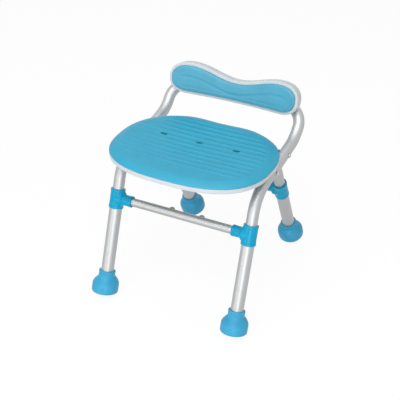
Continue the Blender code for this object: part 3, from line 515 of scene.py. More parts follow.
def rear_leg_point(side, drop):
    """Point on the rear leg's axis at a distance down from the pivot."""
    return Vector((REAR_LEG_X * side, 0, 0)) + REAR_HEADING * drop


def foot_rim_height(lean):
    """Height of the rim's centre that lets the floor cut the sole's lowest corner by SOLE_CUT."""
    core_length = FOOT_LENGTH - FOOT_CORNER_R
    core_radius = FOOT_R - FOOT_CORNER_R
    return core_length * cos(lean) + core_radius * sin(lean) + FOOT_CORNER_R - SOLE_CUT


FRONT_HEADING = Vector((0, -sin(FRONT_LEAN), -cos(FRONT_LEAN)))
REAR_HEADING = Vector((0, sin(REAR_LEAN), -cos(REAR_LEAN)))
FRONT_TEE = {side: front_leg_point(side, FRONT_CROSSBAR_HEIGHT) for _, side in SIDES}
REAR_TEE = {side: rear_leg_point(side, REAR_CROSSBAR_DROP) for _, side in SIDES}
FRONT_RIM = {side: front_leg_point(side, foot_rim_height(FRONT_LEAN)) for _, side in SIDES}
REAR_RIM = {side: rear_leg_point(side, (PIVOT.z - foot_rim_height(REAR_LEAN)) / cos(REAR_LEAN))
            for _, side in SIDES}


def frame_path():
    """Axis of the one tube that makes both front legs, the seat rails and the back."""
    corners = []
    for side in (1, -1):
        lower = FRONT_TEE[side] - FRONT_HEADING * (FRONT_TEE_LENGTH / 2 - LEG_OVERLAP)
        half = [lower, *side_corners(side)]
        corners += half if side == 1 else half[::-1]
    radii = [RUN_BEND_R, RUN_BEND_R, TOP_BEND_R]
    return rounded_path(corners, radii + radii[::-1])


# Tubes

def tube_piece(name, start, end, radius, body):
    made = new_object(name + "_tube", rod(start, end, radius, radius - WALL))
    shown(made, body, LOOKS["tube"], [name])


def drill_across(tube, centre, radius):
    """A running hole along X through the tube, for a pin or rivet of this radius."""
    reach = Vector((2 * TUBE_R, 0, 0))
    cut(tube, rod(centre - reach, centre + reach, radius + GAP))


def make_frame_tube():
    made = new_object("bent_frame_tube", swept(frame_path(), TUBE_R, TUBE_R - WALL))
    to_stop = -STOP_PIN_SPACING * Vector((0, cos(RUN_RISE), sin(RUN_RISE)))
    for _, side in SIDES:
        in_rail = Vector((HALF_WIDTH * side, 0, 0))
        drill_across(made, in_rail, PIVOT_PIN_R)
        drill_across(made, in_rail + to_stop, STOP_PIN_R)
    shown(made, FRAME_BODY, LOOKS["tube"], ["frame_tube"])


def make_lower_legs(name, side):
    """The leg tubes of one side from inside the tees down into the feet."""
    in_foot = FOOT_LENGTH - FOOT_BOTTOM - GAP
    for node, middle, length, heading, rim, body in (
            ("front_leg_", FRONT_TEE, FRONT_TEE_LENGTH, FRONT_HEADING, FRONT_RIM, FRAME_BODY),
            ("rear_leg_lower_", REAR_TEE, REAR_TEE_LENGTH, REAR_HEADING, REAR_RIM, FOLD_BODY)):
        top = middle[side] - heading * (length / 2 - LEG_TOP_IN_TEE)
        tube_piece(node + name, top, rim[side] + heading * in_foot, LEG_R, body)


def make_upper_rear_leg(name, side):
    """A tube with a closed top end and holes for the pivot pin and the seat arm's rivet."""
    top = rear_leg_point(side, -REAR_LEG_ABOVE_PIVOT)
    end = REAR_TEE[side] - REAR_HEADING * (REAR_TEE_LENGTH / 2 - LEG_OVERLAP)
    made = new_object("rear_leg_upper_" + name + "_tube", swept([top, end], TUBE_R))
    end_wall = REAR_HEADING * WALL
    cut(made, swept([top + end_wall, end + end_wall], TUBE_R - WALL))
    drill_across(made, rear_leg_point(side, 0), PIVOT_PIN_R)
    drill_across(made, rear_leg_point(side, LEG_RIVET_DROP), LEG_RIVET_R)
    shown(made, FOLD_BODY, LOOKS["tube"], ["rear_leg_upper_" + name])


def make_crossbars():
    for node, middle, leg_x, body in (("front_crossbar", FRONT_TEE[1], HALF_WIDTH, FRAME_BODY),
                                      ("rear_crossbar", REAR_TEE[1], REAR_LEG_X, FOLD_BODY)):
        reach = leg_x - STUB_REACH + CROSSBAR_IN_STUB - GAP
        tube_piece(node, (-reach, middle.y, middle.z), (reach, middle.y, middle.z), CROSSBAR_R, body)


# Tees

MOULDING_SIDES = 96
TEE_COLLAR = 0.0005
TEE_COLLAR_LENGTH = 0.0060
TEE_VOXEL = 0.0007
TEE_MELT = 0.5
TEE_MELT_ROUNDS = 6
# Distance past the sleeve and radius past the stub
GUSSET = ((-TEE_R, 0.0045), (-0.0010, 0.0040), (0.0020, 0.0008), (0.0050, -0.0010))


def turned(profile, start, heading, sides):
    """Rings of (distance, radius) points about an axis, as one closed body."""
    heading = heading.normalized()
    across = square_to(heading)
    along = heading.cross(across)
    return stacked(bmesh.new(), [ring(start + heading * d, across, along, r, sides) for d, r in profile])


def collared(length, radius, both=True):
    """Profile of a sleeve with a slightly thicker collar at its far end, or at both ends."""
    collar_r = radius + TEE_COLLAR
    slope = TEE_COLLAR * 2
    near = [(0, collar_r), (TEE_COLLAR_LENGTH, collar_r), (TEE_COLLAR_LENGTH + slope, radius)]
    far = [(length - TEE_COLLAR_LENGTH - slope, radius), (length - TEE_COLLAR_LENGTH, collar_r),
           (length, collar_r)]
    return (near if both else [(0, radius)]) + far


def make_tee(name, middle, heading, length, side, body):
    """A moulded sleeve with a filleted stub: united, remeshed so that the joint melts, then bored."""
    top = middle - heading * length / 2
    inward = Vector((-side, 0, 0))
    made = new_object(name + "_moulding",
                      turned(collared(length, TEE_R - TEE_COLLAR), top, heading, MOULDING_SIDES))
    stub = collared(STUB_REACH, STUB_R - TEE_COLLAR, both=False)
    join(made, turned(stub, middle, inward, MOULDING_SIDES))
    gusset = [(TEE_R + past_sleeve, STUB_R + past_stub) for past_sleeve, past_stub in GUSSET]
    join(made, turned(gusset, middle, inward, MOULDING_SIDES))
    step = made.modifiers.new("voxels", "REMESH")
    step.mode = "VOXEL"
    step.voxel_size = TEE_VOXEL
    step = made.modifiers.new("melt", "SMOOTH")
    step.factor = TEE_MELT
    step.iterations = TEE_MELT_ROUNDS
    bake(made)
    leg_top = top + heading * (LEG_TOP_IN_TEE - GAP)
    cut(made, rod(leg_top, top + heading * 2 * length, LEG_R + GAP, sides=BORE_SIDES))
    cut(made, rod(top - heading * length, middle, TUBE_R + GAP, sides=BORE_SIDES))
    socket = middle + inward * (STUB_REACH - CROSSBAR_IN_STUB)
    cut(made, rod(socket, middle + inward * 2 * STUB_REACH, CROSSBAR_R + GAP, sides=BORE_SIDES))
    shown(made, body, LOOKS["tee"], [name], sharp=40)


# Feet

FOOT_SIDES = 72
# Distance from the rim and inset from the neck's radius
NECK_BEAD = ((0, 0.0008), (0.0004, 0.0002), (0.0012, 0), (0.0035, 0), (0.0045, 0.0004))
NECK_INSET = 0.0004
NECK_SHARE = 0.75
NECK_LEVELLING = 0.3
SHOULDER_LEVELLING = 0.6
SHOULDER_POWER = 1.5
SHOULDER_STEPS = 10
SOLE_LEVELLING = 0.15
SOLE_CORNER_STEPS = 8
# Radius and depth
SOLE_RINGS = ((0.0215, 0), (0.0210, 0.0012), (0.0195, 0.0012), (0.0190, 0), (0.0145, 0),
              (0.0140, 0.0012), (0.0125, 0.0012), (0.0120, 0), (0.0070, 0))
FOOT_BORE_START = 0.01
FLOOR_BLOCK_REACH = Vector((0.1, 0.1, 0.2))


def foot_profile():
    """Outer line of a foot as (distance, radius, levelling), from its rim to two grooves in its sole.

    Levelling is the share of the leg's lean that a ring is turned back by.
    """
    points = [(distance, NECK_R - inset, 0) for distance, inset in NECK_BEAD]
    points.append((NECK_LENGTH * NECK_SHARE, NECK_R - NECK_INSET, NECK_LEVELLING))
    for i in range(SHOULDER_STEPS + 1):
        share = i / SHOULDER_STEPS
        levelled = SHOULDER_LEVELLING + (SOLE_LEVELLING - SHOULDER_LEVELLING) * share ** SHOULDER_POWER
        points.append((NECK_LENGTH + SHOULDER_LENGTH * share,
                       NECK_R + (FOOT_R - NECK_R) * sin(share * pi / 2), levelled))
    for angle in quarter_turn(SOLE_CORNER_STEPS):
        points.append((FOOT_LENGTH - FOOT_CORNER_R + FOOT_CORNER_R * sin(angle),
                       FOOT_R - FOOT_CORNER_R + FOOT_CORNER_R * cos(angle), SOLE_LEVELLING))
    points += [(FOOT_LENGTH - depth, radius, SOLE_LEVELLING) for radius, depth in SOLE_RINGS]
    return points


def make_foot(name, rim, heading, lean, body):
    """A rubber foot: a neck along the leg that swells into a bell whose shoulder is nearly level."""
    across = Vector((1, 0, 0))
    rings = []
    for distance, radius, levelled in foot_profile():
        turn = Matrix.Rotation(lean * levelled if heading.y < 0 else -lean * levelled, 3, "X")
        along = turn @ heading.cross(across)
        rings.append(ring(rim + heading * distance, across, along, radius, FOOT_SIDES))
    made = new_object(name + "_rubber", stacked(bmesh.new(), rings))
    bore_end = rim + heading * (FOOT_LENGTH - FOOT_BOTTOM)
    cut(made, rod(rim - heading * FOOT_BORE_START, bore_end, LEG_R + GAP, sides=BORE_SIDES))
    far = rim + FLOOR_BLOCK_REACH
    cut(made, box_mesh(rim - FLOOR_BLOCK_REACH, (far.x, far.y, -PIVOT.z)))
    shown(made, body, LOOKS["foot"], [name], sharp=45)


# Buffers

BUFFER_R = 0.0065
BUFFER_LENGTH = 0.0235
BUFFER_HALF_SPACING = 0.0366
BUFFER_DIP = radians(22)
BUFFER_STEPS = 10
BUFFER_TIP_R = 0.0003


def make_buffer(name, side):
    """A domed rubber post, hollowed to sit round the crossbar."""
    axis = Vector((0, cos(BUFFER_DIP), -sin(BUFFER_DIP)))
    middle = FRONT_TEE[side]
    centre = Vector((BUFFER_HALF_SPACING * side, middle.y, middle.z))
    dome = CROSSBAR_R + BUFFER_LENGTH - BUFFER_R
    profile = [(CROSSBAR_R / 2, BUFFER_R)]
    profile += [(dome + BUFFER_R * sin(angle), max(BUFFER_R * cos(angle), BUFFER_TIP_R))
                for angle in quarter_turn(BUFFER_STEPS)]
    made = new_object("crossbar_buffer_" + name + "_dome", turned(profile, centre, axis, ROUND_SIDES))
    across = Vector((2 * BUFFER_R, 0, 0))
    cut(made, rod(centre - across, centre + across, CROSSBAR_R + GAP))
    shown(made, FRAME_BODY, LOOKS["buffer"], ["crossbar_buffer_" + name])


# Seat

SEAT_TURN = Matrix.Rotation(-SEAT_TILT, 3, "X")
RIM_TOP = SEAT_TOP - PAD_HEIGHT
RIM_BOTTOM = RIM_TOP - RIM_HEIGHT
PLATE_UNDERSIDE = RIM_TOP - SEAT_WALL
OUTLINE_STEP = 0.001
OUTLINE_SAMPLES = 2880
TRAY_POINTS = 240
SLOT_END_STEPS = 12
TRAY_FOOT_ROUND = 0.0022
TRAY_FOOT_STEPS = 6
TRAY_TOP_ROUND = 0.0012
TRAY_TOP_STEPS = 4
TRAY_INNER_CHAMFER = 0.0006
SCREW_HOLE_SIDES = 24


def seat_place(x, y, z):
    return SEAT_TURN @ Vector((x, y, z))


def seat_outline_point(turn):
    """Point of the seat's outline; turn runs from the rear (0) over the right side and back."""
    front = cos(turn) < 0
    power = SEAT_FRONT_POWER if front else SEAT_REAR_POWER
    depth = SEAT_FRONT_DEPTH if front else SEAT_REAR_DEPTH
    x = SEAT_HALF_WIDTH * abs(sin(turn)) ** (2 / power)
    reach = depth * abs(cos(turn)) ** (2 / power)
    if not front:
        reach -= SEAT_REAR_DIP * cos(pi / 2 * min(2 * x / SEAT_HALF_WIDTH, 1)) ** 2
    return Vector((x if sin(turn) >= 0 else -x, SEAT_WIDEST + (-reach if front else reach)))


def outline_at(turn, offset):
    """Point of the seat's outline at a turn, moved inwards by offset."""
    before = seat_outline_point(turn - OUTLINE_STEP)
    tangent = (seat_outline_point(turn + OUTLINE_STEP) - before).normalized()
    return seat_outline_point(turn) + Vector((tangent.y, -tangent.x)) * offset


def seat_turns(count):
    """Turns that spread the outline's points evenly along it."""
    turns = [2 * pi * (i + 0.5) / OUTLINE_SAMPLES for i in range(OUTLINE_SAMPLES)]
    points = [seat_outline_point(turn) for turn in turns]
    steps = [(points[(i + 1) % OUTLINE_SAMPLES] - points[i]).length for i in range(OUTLINE_SAMPLES)]
    spacing = sum(steps) / count
    even = []
    travelled = 0.0
    for turn, step in zip(turns, steps):
        if travelled >= len(even) * spacing:
            even.append(turn)
        travelled += step
    return even


def slot_prism(x, low, high):
    """A drain slot with round ends, between two heights."""
    radius = SLOT_WIDTH / 2
    reach = SLOT_LENGTH / 2 - SLOT_WIDTH / 2
    outline = []
    for centre, start in ((x + reach, -pi / 2), (x - reach, pi / 2)):
        for i in range(SLOT_END_STEPS + 1):
            angle = start + pi * i / SLOT_END_STEPS
            outline.append((centre + radius * cos(angle), SLOT_LINE + radius * sin(angle)))
    return stacked(bmesh.new(), [[seat_place(u, v, z) for u, v in outline] for z in (low, high)])


def tray_body():
    """The seat's outline as a plate with a rim: rounded below and, less, above, and open underneath."""
    profile = [(SEAT_WALL, PLATE_UNDERSIDE), (SEAT_WALL, RIM_BOTTOM + TRAY_INNER_CHAMFER),
               (SEAT_WALL - TRAY_INNER_CHAMFER, RIM_BOTTOM)]
    for angle in quarter_turn(TRAY_FOOT_STEPS):
        profile.append((TRAY_FOOT_ROUND * (1 - sin(angle)),
                        RIM_BOTTOM + TRAY_FOOT_ROUND * (1 - cos(angle))))
    for angle in quarter_turn(TRAY_TOP_STEPS):
        profile.append((TRAY_TOP_ROUND * (1 - cos(angle)),
                        RIM_TOP - TRAY_TOP_ROUND + TRAY_TOP_ROUND * sin(angle)))
    turns = seat_turns(TRAY_POINTS)
    return stacked(bmesh.new(), [[seat_place(*outline_at(turn, offset), z) for turn in turns]
                                 for offset, z in profile])


def make_seat_shell():
    """The white tray with its ribs, slots, room for the rear legs and screw holes."""
    made = new_object("seat_tray", tray_body())
    reach = ARM_INNER_X - ARM_FLANGE - TRAY_RIB_END_GAP
    levels = (PLATE_UNDERSIDE - TRAY_RIB_HEIGHT, PLATE_UNDERSIDE + SEAT_WALL / 2)
    for front in TRAY_RIB_LINES:
        rear = front + TRAY_RIB_THICKNESS
        corners = ((-reach, front), (reach, front), (reach, rear), (-reach, rear))
        join(made, stacked(bmesh.new(), [[seat_place(u, v, z) for u, v in corners] for z in levels]))
    for x in SLOT_PLACES:
        cut(made, slot_prism(x, PLATE_UNDERSIDE - SEAT_WALL, RIM_TOP + SEAT_WALL))
    for _, side in SIDES:
        top = rear_leg_point(side, -REAR_LEG_ABOVE_PIVOT - LEG_NOTCH_CLEARANCE)
        cut(made, rod(top, rear_leg_point(side, 0), TUBE_R + LEG_NOTCH_CLEARANCE))
        x = side * (ARM_INNER_X - ARM_FLANGE / 2)
        for y in ARM_SCREW_LINES:
            start = seat_place(x, y, PLATE_UNDERSIDE - SEAT_WALL)
            end = seat_place(x, y, PLATE_UNDERSIDE + SCREW_DEPTH)
            cut(made, rod(start, end, SCREW_R + GAP, sides=SCREW_HOLE_SIDES))
    shown(made, FOLD_BODY, LOOKS["shell"], ["seat_shell"])


# Seat pad

# Inset from the outline and height above the pad's underside
PAD_FOOT = ((0.0016, 0), (0.0006, 0.0004), (0, 0.0013))
PAD_SIDE_STEPS = 14
PAD_LIP = 0.0010
PAD_COLUMNS = 96
PAD_ARC_ROWS = 5
RIB_POWER = 1.5
# Places of lines as shares of a rib's half width, and of the pitch
RIB_SHARES = (1.0, 0.8, 0.55, 0.28, 0, -0.28, -0.55, -0.8, -1.0)
VALLEY_SHARES = (0.41, 0.50, 0.59)
PAST_REAR_DIP = pi / 9
HALVINGS = 40
UPRIGHT_FACE = 0.3


def pad_height(x, y, inside):
    """Height of the pad's top at a point that is inside the border line by a distance."""
    across = x / (SEAT_HALF_WIDTH - PAD_BORDER)
    along = (y - SEAT_WIDEST) / (SEAT_FRONT_DEPTH - PAD_BORDER)
    away = min(1.0, across ** 2 + along ** 2)
    height = SEAT_TOP - PAD_DISH * (1 - away) ** 2
    nearest = round((RIB_REARMOST - y) / RIB_PITCH)
    if 0 <= nearest < RIB_COUNT:
        off = abs(y - (RIB_REARMOST - RIB_PITCH * nearest)) / (RIB_WIDTH / 2)
        if off < 1 and inside > 0:
            fade = sin(min(1.0, inside / RIB_RUNOUT) * pi / 2)
            height += RIB_RISE * fade * cos(off * pi / 2) ** RIB_POWER
    return height


def turn_at(y, offset):
    """Turn at which the outline moved inwards by offset crosses a line on the right."""
    low, high = PAST_REAR_DIP, pi
    for _ in range(HALVINGS):
        middle = (low + high) / 2
        if outline_at(middle, offset).y > y:
            low = middle
        else:
            high = middle
    return low


def pad_rows():
    """Lines across the pad from the rear, close together over each rib."""
    rows = []
    for i in range(RIB_COUNT):
        y = RIB_REARMOST - RIB_PITCH * i
        rows += [y + RIB_WIDTH / 2 * share for share in RIB_SHARES]
        if i < RIB_COUNT - 1:
            rows += [y - RIB_PITCH * share for share in VALLEY_SHARES]
    return rows


def fill_rows(bm, rows):
    """Faces between rows of vertices with equal counts, also where neighbours share a vertex."""
    for upper, lower in zip(rows, rows[1:]):
        for i in range(len(upper) - 1):
            corners = []
            for vert in (upper[i], upper[i + 1], lower[i + 1], lower[i]):
                if vert not in corners:
                    corners.append(vert)
            if len(corners) > 2:
                bm.faces.new(corners)


def extra_rows(bm, outer, inner_row):
    """Rows between the border's arc and the nearest line, filled here; gives back the last of them."""
    last = outer
    for k in range(1, PAD_ARC_ROWS):
        row = [outer[0]]
        for a, b in zip(outer[1:-1], inner_row[1:-1]):
            row.append(bm.verts.new(a.co.lerp(b.co, k / PAD_ARC_ROWS)))
        row.append(outer[-1])
        fill_rows(bm, [last, row])
        last = row
    return last


def between(first, last, count):
    """Evenly spaced values between two, without the two."""
    return [first + (last - first) * (i + 1) / (count + 1) for i in range(count)]


def pad_side():
    """Outer side of the pad as (offset, z): a foot radius, upright, then a wide round."""
    bottom = RIM_TOP + GAP
    rise = SEAT_TOP - bottom - PAD_UPRIGHT
    points = [(inset, bottom + lift) for inset, lift in PAD_FOOT]
    for angle in quarter_turn(PAD_SIDE_STEPS):
        points.append((PAD_EDGE_R * (1 - cos(angle) ** PAD_EDGE_POWER),
                       bottom + PAD_UPRIGHT + rise * sin(angle) ** PAD_EDGE_POWER))
    return points


def fill_middle(bm, border, lines, right):
    """The pad's top inside its border line, with a row of vertices at each line across it."""
    count = len(lines)
    rows = [border[2 * count + PAD_COLUMNS - 1:] + border[:1]]
    for i, y in enumerate(lines):
        reach = outline_at(right[i], PAD_BORDER).x
        row = [border[2 * count + PAD_COLUMNS - 1 - i]]
        for x in between(-reach, reach, PAD_COLUMNS):
            row.append(bm.verts.new(seat_place(x, y, pad_height(x, y, reach - abs(x)))))
        rows.append(row + [border[i]])
    rows.append(border[count - 1:count + PAD_COLUMNS + 1][::-1])
    rows[0] = extra_rows(bm, rows[0], rows[1])
    rows[-1] = extra_rows(bm, rows[-1], rows[-2])
    fill_rows(bm, rows)


def pad_body():
    """The pad's closed skin: rounded sides, a plain border and a dished middle with ribs across it."""
    lines = pad_rows()
    right = [turn_at(y, PAD_BORDER) for y in lines]
    left = [2 * pi - turn for turn in reversed(right)]
    front = between(right[-1], left[0], PAD_COLUMNS)
    rear = between(left[-1], 2 * pi + right[0], PAD_COLUMNS)
    turns = right + front + left + rear
    bm = bmesh.new()
    rings = [[bm.verts.new(seat_place(*outline_at(turn, offset), z)) for turn in turns]
             for offset, z in pad_side()]
    for offset in (PAD_EDGE_R + PAD_LIP, PAD_BORDER):
        loop = []
        for turn in turns:
            x, y = outline_at(turn, offset)
            loop.append(bm.verts.new(seat_place(x, y, pad_height(x, y, 0))))
        rings.append(loop)
    for first, second in zip(rings, rings[1:]):
        bridge(bm, first, second)
    bm.faces.new(rings[0])
    fill_middle(bm, rings[-1], lines, right)
    return bm


def make_seat_pad():
    """The foam pad, with a darker copy of its foam on the walls of its slots as painted shade."""
    made = new_object("seat_foam", pad_body())
    for x in SLOT_PLACES:
        cut(made, slot_prism(x, RIM_TOP - SEAT_WALL, SEAT_TOP + SEAT_WALL))
    shown(made, FOLD_BODY, LOOKS["foam"], ["seat_pad"], sharp=60)
    # The slot walls take the darker foam copy: painted shade.
    made.data.materials.append(LOOKS["slot_foam_painted_shade"])
    for face in made.data.polygons:
        spot = SEAT_TURN.inverted() @ (face.center - PIVOT)
        in_line = abs(spot.y - SLOT_LINE) < SLOT_WIDTH / 2 + GAP
        in_slot = min(abs(spot.x - x) for x in SLOT_PLACES) < SLOT_LENGTH / 2 + GAP
        if in_line and in_slot and abs(face.normal.z) < UPRIGHT_FACE:
            face.material_index = 1


# Backrest

BACK_NORMAL = Vector((0, -cos(BACK_LEAN), sin(BACK_LEAN)))
BACK_UPWARD = Vector((0, sin(BACK_LEAN), cos(BACK_LEAN)))
BACK_STATIONS = 120
BACK_SLOPE_STEP = 0.0002
BACK_TIP_LIP = 0.0008
BACK_TIP_STEPS = 8
BACK_EDGE_ROUND = 0.0024
BACK_EDGE_STEPS = 8
BACK_TUBE_CLEARANCE = 0.001
# Growth of the outline and height above the gap
BACK_PAD_FOOT = ((-0.0006, 0), (-0.0001, 0.0002), (0, 0.0006))
BACK_PAD_UPRIGHT = 0.0026
BACK_PAD_ROUND = 0.0042
BACK_PAD_ROUND_WIDTH = 1.3
BACK_PAD_ROUND_STEPS = 9
BACK_PAD_LEVELS = 60
BACK_CROWN = 0.0010
CREASE_END = 0.133
CREASE_RUNOUT = 0.012
UPPER_CREASE_INSET = 0.0250
UPPER_CREASE_HALF_WIDTH = 0.0060
UPPER_CREASE_DEPTH = 0.0009
LOWER_CREASE_INSET = 0.0100
LOWER_CREASE_HALF_WIDTH = 0.0050
LOWER_CREASE_DEPTH = 0.0004


def back_place(x, rise, ahead):
    """A point of the backrest: x across, rise up the sheet, ahead in front of it."""
    top = side_corners(1)[2]
    before_tube = Vector((0, top.y, top.z)) + BACK_NORMAL * (TUBE_R + BACK_AHEAD_OF_TUBE)
    origin = before_tube + BACK_UPWARD * BACK_ABOVE_TUBE
    curve = BACK_CURVE_R - sqrt(BACK_CURVE_R ** 2 - x ** 2)
    return origin + Vector((x, 0, 0)) + BACK_UPWARD * rise + BACK_NORMAL * (curve + ahead)


def back_end_share(x):
    """Half height of an end as a share, from 1 where it starts to 0 at its tip."""
    share = min((x - BACK_END_START) / (BACK_HALF_WIDTH - BACK_END_START), 1)
    return (1 - share ** BACK_END_POWER) ** (1 / BACK_END_POWER)


def back_top(x):
    """Top edge of the pad: two humps with a dip between them, and rounded ends."""
    x = abs(x)
    if x < BACK_END_START:
        return BACK_HUMP - (BACK_HUMP - BACK_DIP) * cos(pi * x / (2 * BACK_END_START)) ** 2
    middle = (BACK_HUMP - BACK_BOTTOM) / 2
    return middle + (BACK_HUMP - middle) * back_end_share(x)


def back_bottom(x):
    """Bottom edge of the pad: straight, with rounded ends."""
    x = abs(x)
    if x < BACK_END_START:
        return -BACK_BOTTOM
    middle = (BACK_HUMP - BACK_BOTTOM) / 2
    return middle - (BACK_BOTTOM + middle) * back_end_share(x)


def back_edges(grow):
    """Top and bottom outline points at each station, grown outwards."""
    stations = []
    for i in range(BACK_STATIONS + 1):
        x = BACK_HALF_WIDTH * sin(pi * i / BACK_STATIONS - pi / 2)
        pair = []
        for edge, sign in ((back_top, 1), (back_bottom, -1)):
            low = max(x - BACK_SLOPE_STEP, -BACK_HALF_WIDTH)
            high = min(x + BACK_SLOPE_STEP, BACK_HALF_WIDTH)
            if abs(x) > BACK_HALF_WIDTH - BACK_SLOPE_STEP:
                outward = Vector((1 if x > 0 else -1, 0))
            else:
                slope = (edge(high) - edge(low)) / (high - low)
                outward = Vector((-slope, 1)).normalized() * sign
            pair.append(Vector((x, edge(x))) + outward * grow)
        stations.append(pair)
    return stations


def back_stack(profile, first_levels, last_levels, lift=None):
    """A closed body with the backrest's outline, from (grow, ahead) loops.

    Each end is capped in levels from the top edge to the bottom one; the last cap is lifted by lift.
    """
    bm = bmesh.new()
    loops = []
    for grow, ahead in profile:
        stations = back_edges(grow)
        outline = [pair[0] for pair in stations] + [pair[1] for pair in stations[1:-1]][::-1]
        loops.append([bm.verts.new(back_place(x, rise, ahead)) for x, rise in outline])
    for first, second in zip(loops, loops[1:]):
        bridge(bm, first, second)
    for loop, (grow, ahead), levels, lifted in ((loops[0], profile[0], first_levels, False),
                                                (loops[-1], profile[-1], last_levels, True)):
        stations = back_edges(grow)
        grid = [loop[:BACK_STATIONS + 1]]
        for level in range(1, levels):
            row = [loop[0]]
            for pair in stations[1:-1]:
                x, rise = pair[0].lerp(pair[1], level / levels)
                extra = lift(x, rise) if lifted and lift else 0
                row.append(bm.verts.new(back_place(x, rise, ahead + extra)))
            grid.append(row + [loop[BACK_STATIONS]])
        grid.append([loop[0], *loop[:BACK_STATIONS:-1], loop[BACK_STATIONS]])
        fill_rows(bm, grid)
    return bm


def back_lift(x, rise):
    """Crown of the pad's face less its two creases, which follow its edges."""
    top, bottom = back_top(x), back_bottom(x)
    share = min(1.0, max(0.0, (top - rise) / (top - bottom)))
    lift = BACK_CROWN * (1 - (2 * share - 1) ** 2)
    fade = max(0.0, min(1.0, (CREASE_END - abs(x)) / CREASE_RUNOUT))
    upper = max(0.0, 1 - abs(rise - (top - UPPER_CREASE_INSET)) / UPPER_CREASE_HALF_WIDTH)
    lower = max(0.0, 1 - abs(rise - (bottom + LOWER_CREASE_INSET)) / LOWER_CREASE_HALF_WIDTH)
    lift -= UPPER_CREASE_DEPTH * fade * sin(upper * pi / 2) ** 2
    lift -= LOWER_CREASE_DEPTH * fade * sin(lower * pi / 2) ** 2
    return lift


def make_backrest_shell():
    """The white cover: a ledge round the pad, a wall that turns back, and a channel for the frame tube."""
    inner = BACK_LEDGE - BACK_SHELL_WALL
    profile = [(inner, -BACK_SHELL_WALL), (inner, -BACK_SHELL_DEPTH + BACK_TIP_LIP)]
    half = BACK_SHELL_WALL / 2
    for i in range(BACK_TIP_STEPS + 1):
        angle = i / BACK_TIP_STEPS * pi
        profile.append((BACK_LEDGE - half - half * cos(angle),
                        -BACK_SHELL_DEPTH + BACK_TIP_LIP * (1 - sin(angle))))
    for angle in quarter_turn(BACK_EDGE_STEPS):
        profile.append((BACK_LEDGE - BACK_EDGE_ROUND * (1 - cos(angle)),
                        -BACK_EDGE_ROUND + BACK_EDGE_ROUND * sin(angle)))
    made = new_object("backrest_cover", back_stack(profile, 1, 1))
    cut(made, swept(frame_path(), TUBE_R + BACK_TUBE_CLEARANCE))
    shown(made, FRAME_BODY, LOOKS["shell"], ["backrest_shell"], sharp=40)


def make_backrest_pad():
    """The foam pad on the cover: a small foot radius, a rounded edge and a crowned face."""
    profile = [(grow, GAP + lift) for grow, lift in BACK_PAD_FOOT] + [(0, BACK_PAD_UPRIGHT)]
    for angle in quarter_turn(BACK_PAD_ROUND_STEPS)[1:]:
        profile.append((-BACK_PAD_ROUND * BACK_PAD_ROUND_WIDTH * (1 - cos(angle)),
                        BACK_PAD_THICKNESS - BACK_PAD_ROUND + BACK_PAD_ROUND * sin(angle)))
    made = new_object("backrest_foam", back_stack(profile, 1, BACK_PAD_LEVELS, back_lift))
    # The backrest pad takes the foam copy with a painted sheen.
    shown(made, FRAME_BODY, LOOKS["back_foam_painted_sheen"], ["backrest_pad"], sharp=60)


# Light, floor and camera

WORLD_LIGHT = 0.48
FLOOR_HALF_SIZE = 12
FLOOR_GREY = (0.93, 0.93, 0.93, 1)
FLOOR_GLOW = 0.93


def backdrop_strength(tree):
    """1 for rays that show the background, which are camera, glossy and transmission rays, or else 0."""
    path = add(tree, "ShaderNodeLightPath")
    seen = path.outputs["Is Camera Ray"]
    for name in ("Is Glossy Ray", "Is Transmission Ray"):
        either = add(tree, "ShaderNodeMath", {0: seen, 1: path.outputs[name]}, operation="MAXIMUM")
        seen = either.outputs["Value"]
    return seen


def make_world():
    world = bpy.data.worlds.new("studio")
    world.use_nodes = True
    bpy.context.scene.world = world
    tree = world.node_tree
    background = tree.nodes["Background"]
    background.inputs["Color"].default_value = (1, 1, 1, 1)
    strength = spread_from(tree, backdrop_strength(tree), 0.0, 1.0, WORLD_LIGHT, 1.0)
    tree.links.new(strength, background.inputs["Strength"])


def make_floor():
    bm = bmesh.new()
    bmesh.ops.create_grid(bm, x_segments=1, y_segments=1, size=FLOOR_HALF_SIZE)
    mesh = bpy.data.meshes.new("floor")
    bm.to_mesh(mesh)
    bm.free()
    floor = bpy.data.objects.new("floor", mesh)
    bpy.context.scene.collection.objects.link(floor)
    look = bpy.data.materials.new("floor")
    look.use_nodes = True
    tree = look.node_tree
    tree.nodes.clear()
    matt = add(tree, "ShaderNodeBsdfDiffuse", {"Color": FLOOR_GREY})
    glow = add(tree, "ShaderNodeEmission", {"Color": (1, 1, 1, 1), "Strength": 1.0})
    share = add(tree, "ShaderNodeMath", {0: backdrop_strength(tree), 1: FLOOR_GLOW}, operation="MULTIPLY")
    mixed = add(tree, "ShaderNodeMixShader", {0: share.outputs["Value"], 1: matt.outputs[0],
                                              2: glow.outputs[0]})
    output = add(tree, "ShaderNodeOutputMaterial")
    tree.links.new(mixed.outputs[0], output.inputs["Surface"])
    mesh.materials.append(look)


LAMPS = (
    # name, place, target, width, height, power
    ("main", (0.15, -1.25, 2.35), (0, 0, 0.30), 2.4, 1.5, 38),
    ("above", (-0.20, 0.35, 2.30), (0, 0, 0.30), 1.8, 1.2, 7),
    ("low_front", (0.95, -2.10, 0.50), (0, 0, 0.20), 0.9, 0.8, 15),
    ("low_left", (-0.85, -2.00, 0.45), (0, 0, 0.30), 1.0, 0.8, 6),
)


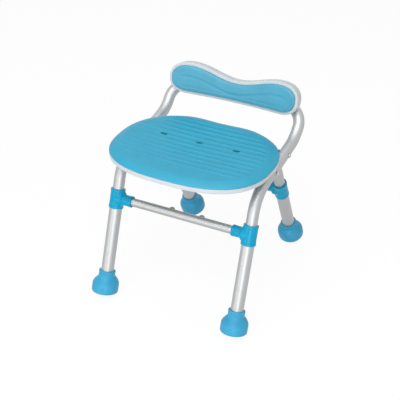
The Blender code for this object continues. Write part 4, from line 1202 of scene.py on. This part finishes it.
def area_light(name, place, target, width, height, power):
    data = bpy.data.lights.new(name, "AREA")
    data.shape = "ELLIPSE"
    data.size = width
    data.size_y = height
    data.energy = power
    lamp = bpy.data.objects.new(name, data)
    bpy.context.scene.collection.objects.link(lamp)
    lamp.location = place
    lamp.rotation_mode = "QUATERNION"
    lamp.rotation_quaternion = (Vector(target) - Vector(place)).to_track_quat("-Z", "Y")


SENSOR_WIDTH = 36.0
FOCAL_SHARE = 2.61531
CAMERA_FROM_PIVOT = Vector((0.89072, -1.82237, 1.19263))
CAMERA_AXES = ((0.89309, 0.44969, -0.01229), (-0.24131, 0.50194, 0.83055), (0.37967, -0.73879, 0.55679))


def make_camera():
    """The photograph's camera, from its right, up and back axes, its place and its focal share."""
    data = bpy.data.cameras.new("camera")
    data.sensor_width = SENSOR_WIDTH
    data.lens = SENSOR_WIDTH * FOCAL_SHARE
    camera = bpy.data.objects.new("camera", data)
    bpy.context.scene.collection.objects.link(camera)
    turn = Matrix([Vector(axis) for axis in CAMERA_AXES]).transposed().to_4x4()
    camera.matrix_world = Matrix.Translation(PIVOT + CAMERA_FROM_PIVOT) @ turn
    bpy.context.scene.camera = camera


make_camera()
make_world()
make_floor()
for lamp in LAMPS:
    area_light(*lamp)
make_frame_tube()
for side_name, side_sign in SIDES:
    make_lower_legs(side_name, side_sign)
    make_upper_rear_leg(side_name, side_sign)
make_crossbars()
for side_name, side_sign in SIDES:
    make_tee("front_tee_" + side_name, FRONT_TEE[side_sign], FRONT_HEADING, FRONT_TEE_LENGTH, side_sign,
             FRAME_BODY)
    make_tee("rear_tee_" + side_name, REAR_TEE[side_sign], REAR_HEADING, REAR_TEE_LENGTH, side_sign,
             FOLD_BODY)
    make_foot("front_foot_" + side_name, FRONT_RIM[side_sign], FRONT_HEADING, FRONT_LEAN, FRAME_BODY)
    make_foot("rear_foot_" + side_name, REAR_RIM[side_sign], REAR_HEADING, REAR_LEAN, FOLD_BODY)
    make_buffer(side_name, side_sign)
make_seat_shell()
make_seat_pad()
make_backrest_shell()
make_backrest_pad()

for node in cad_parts.values():
    if not node.hide_render:
        node.data.materials.clear()
        node.data.materials.append(LOOKS["steel"])

bpy.context.scene.view_settings.view_transform = "Standard"
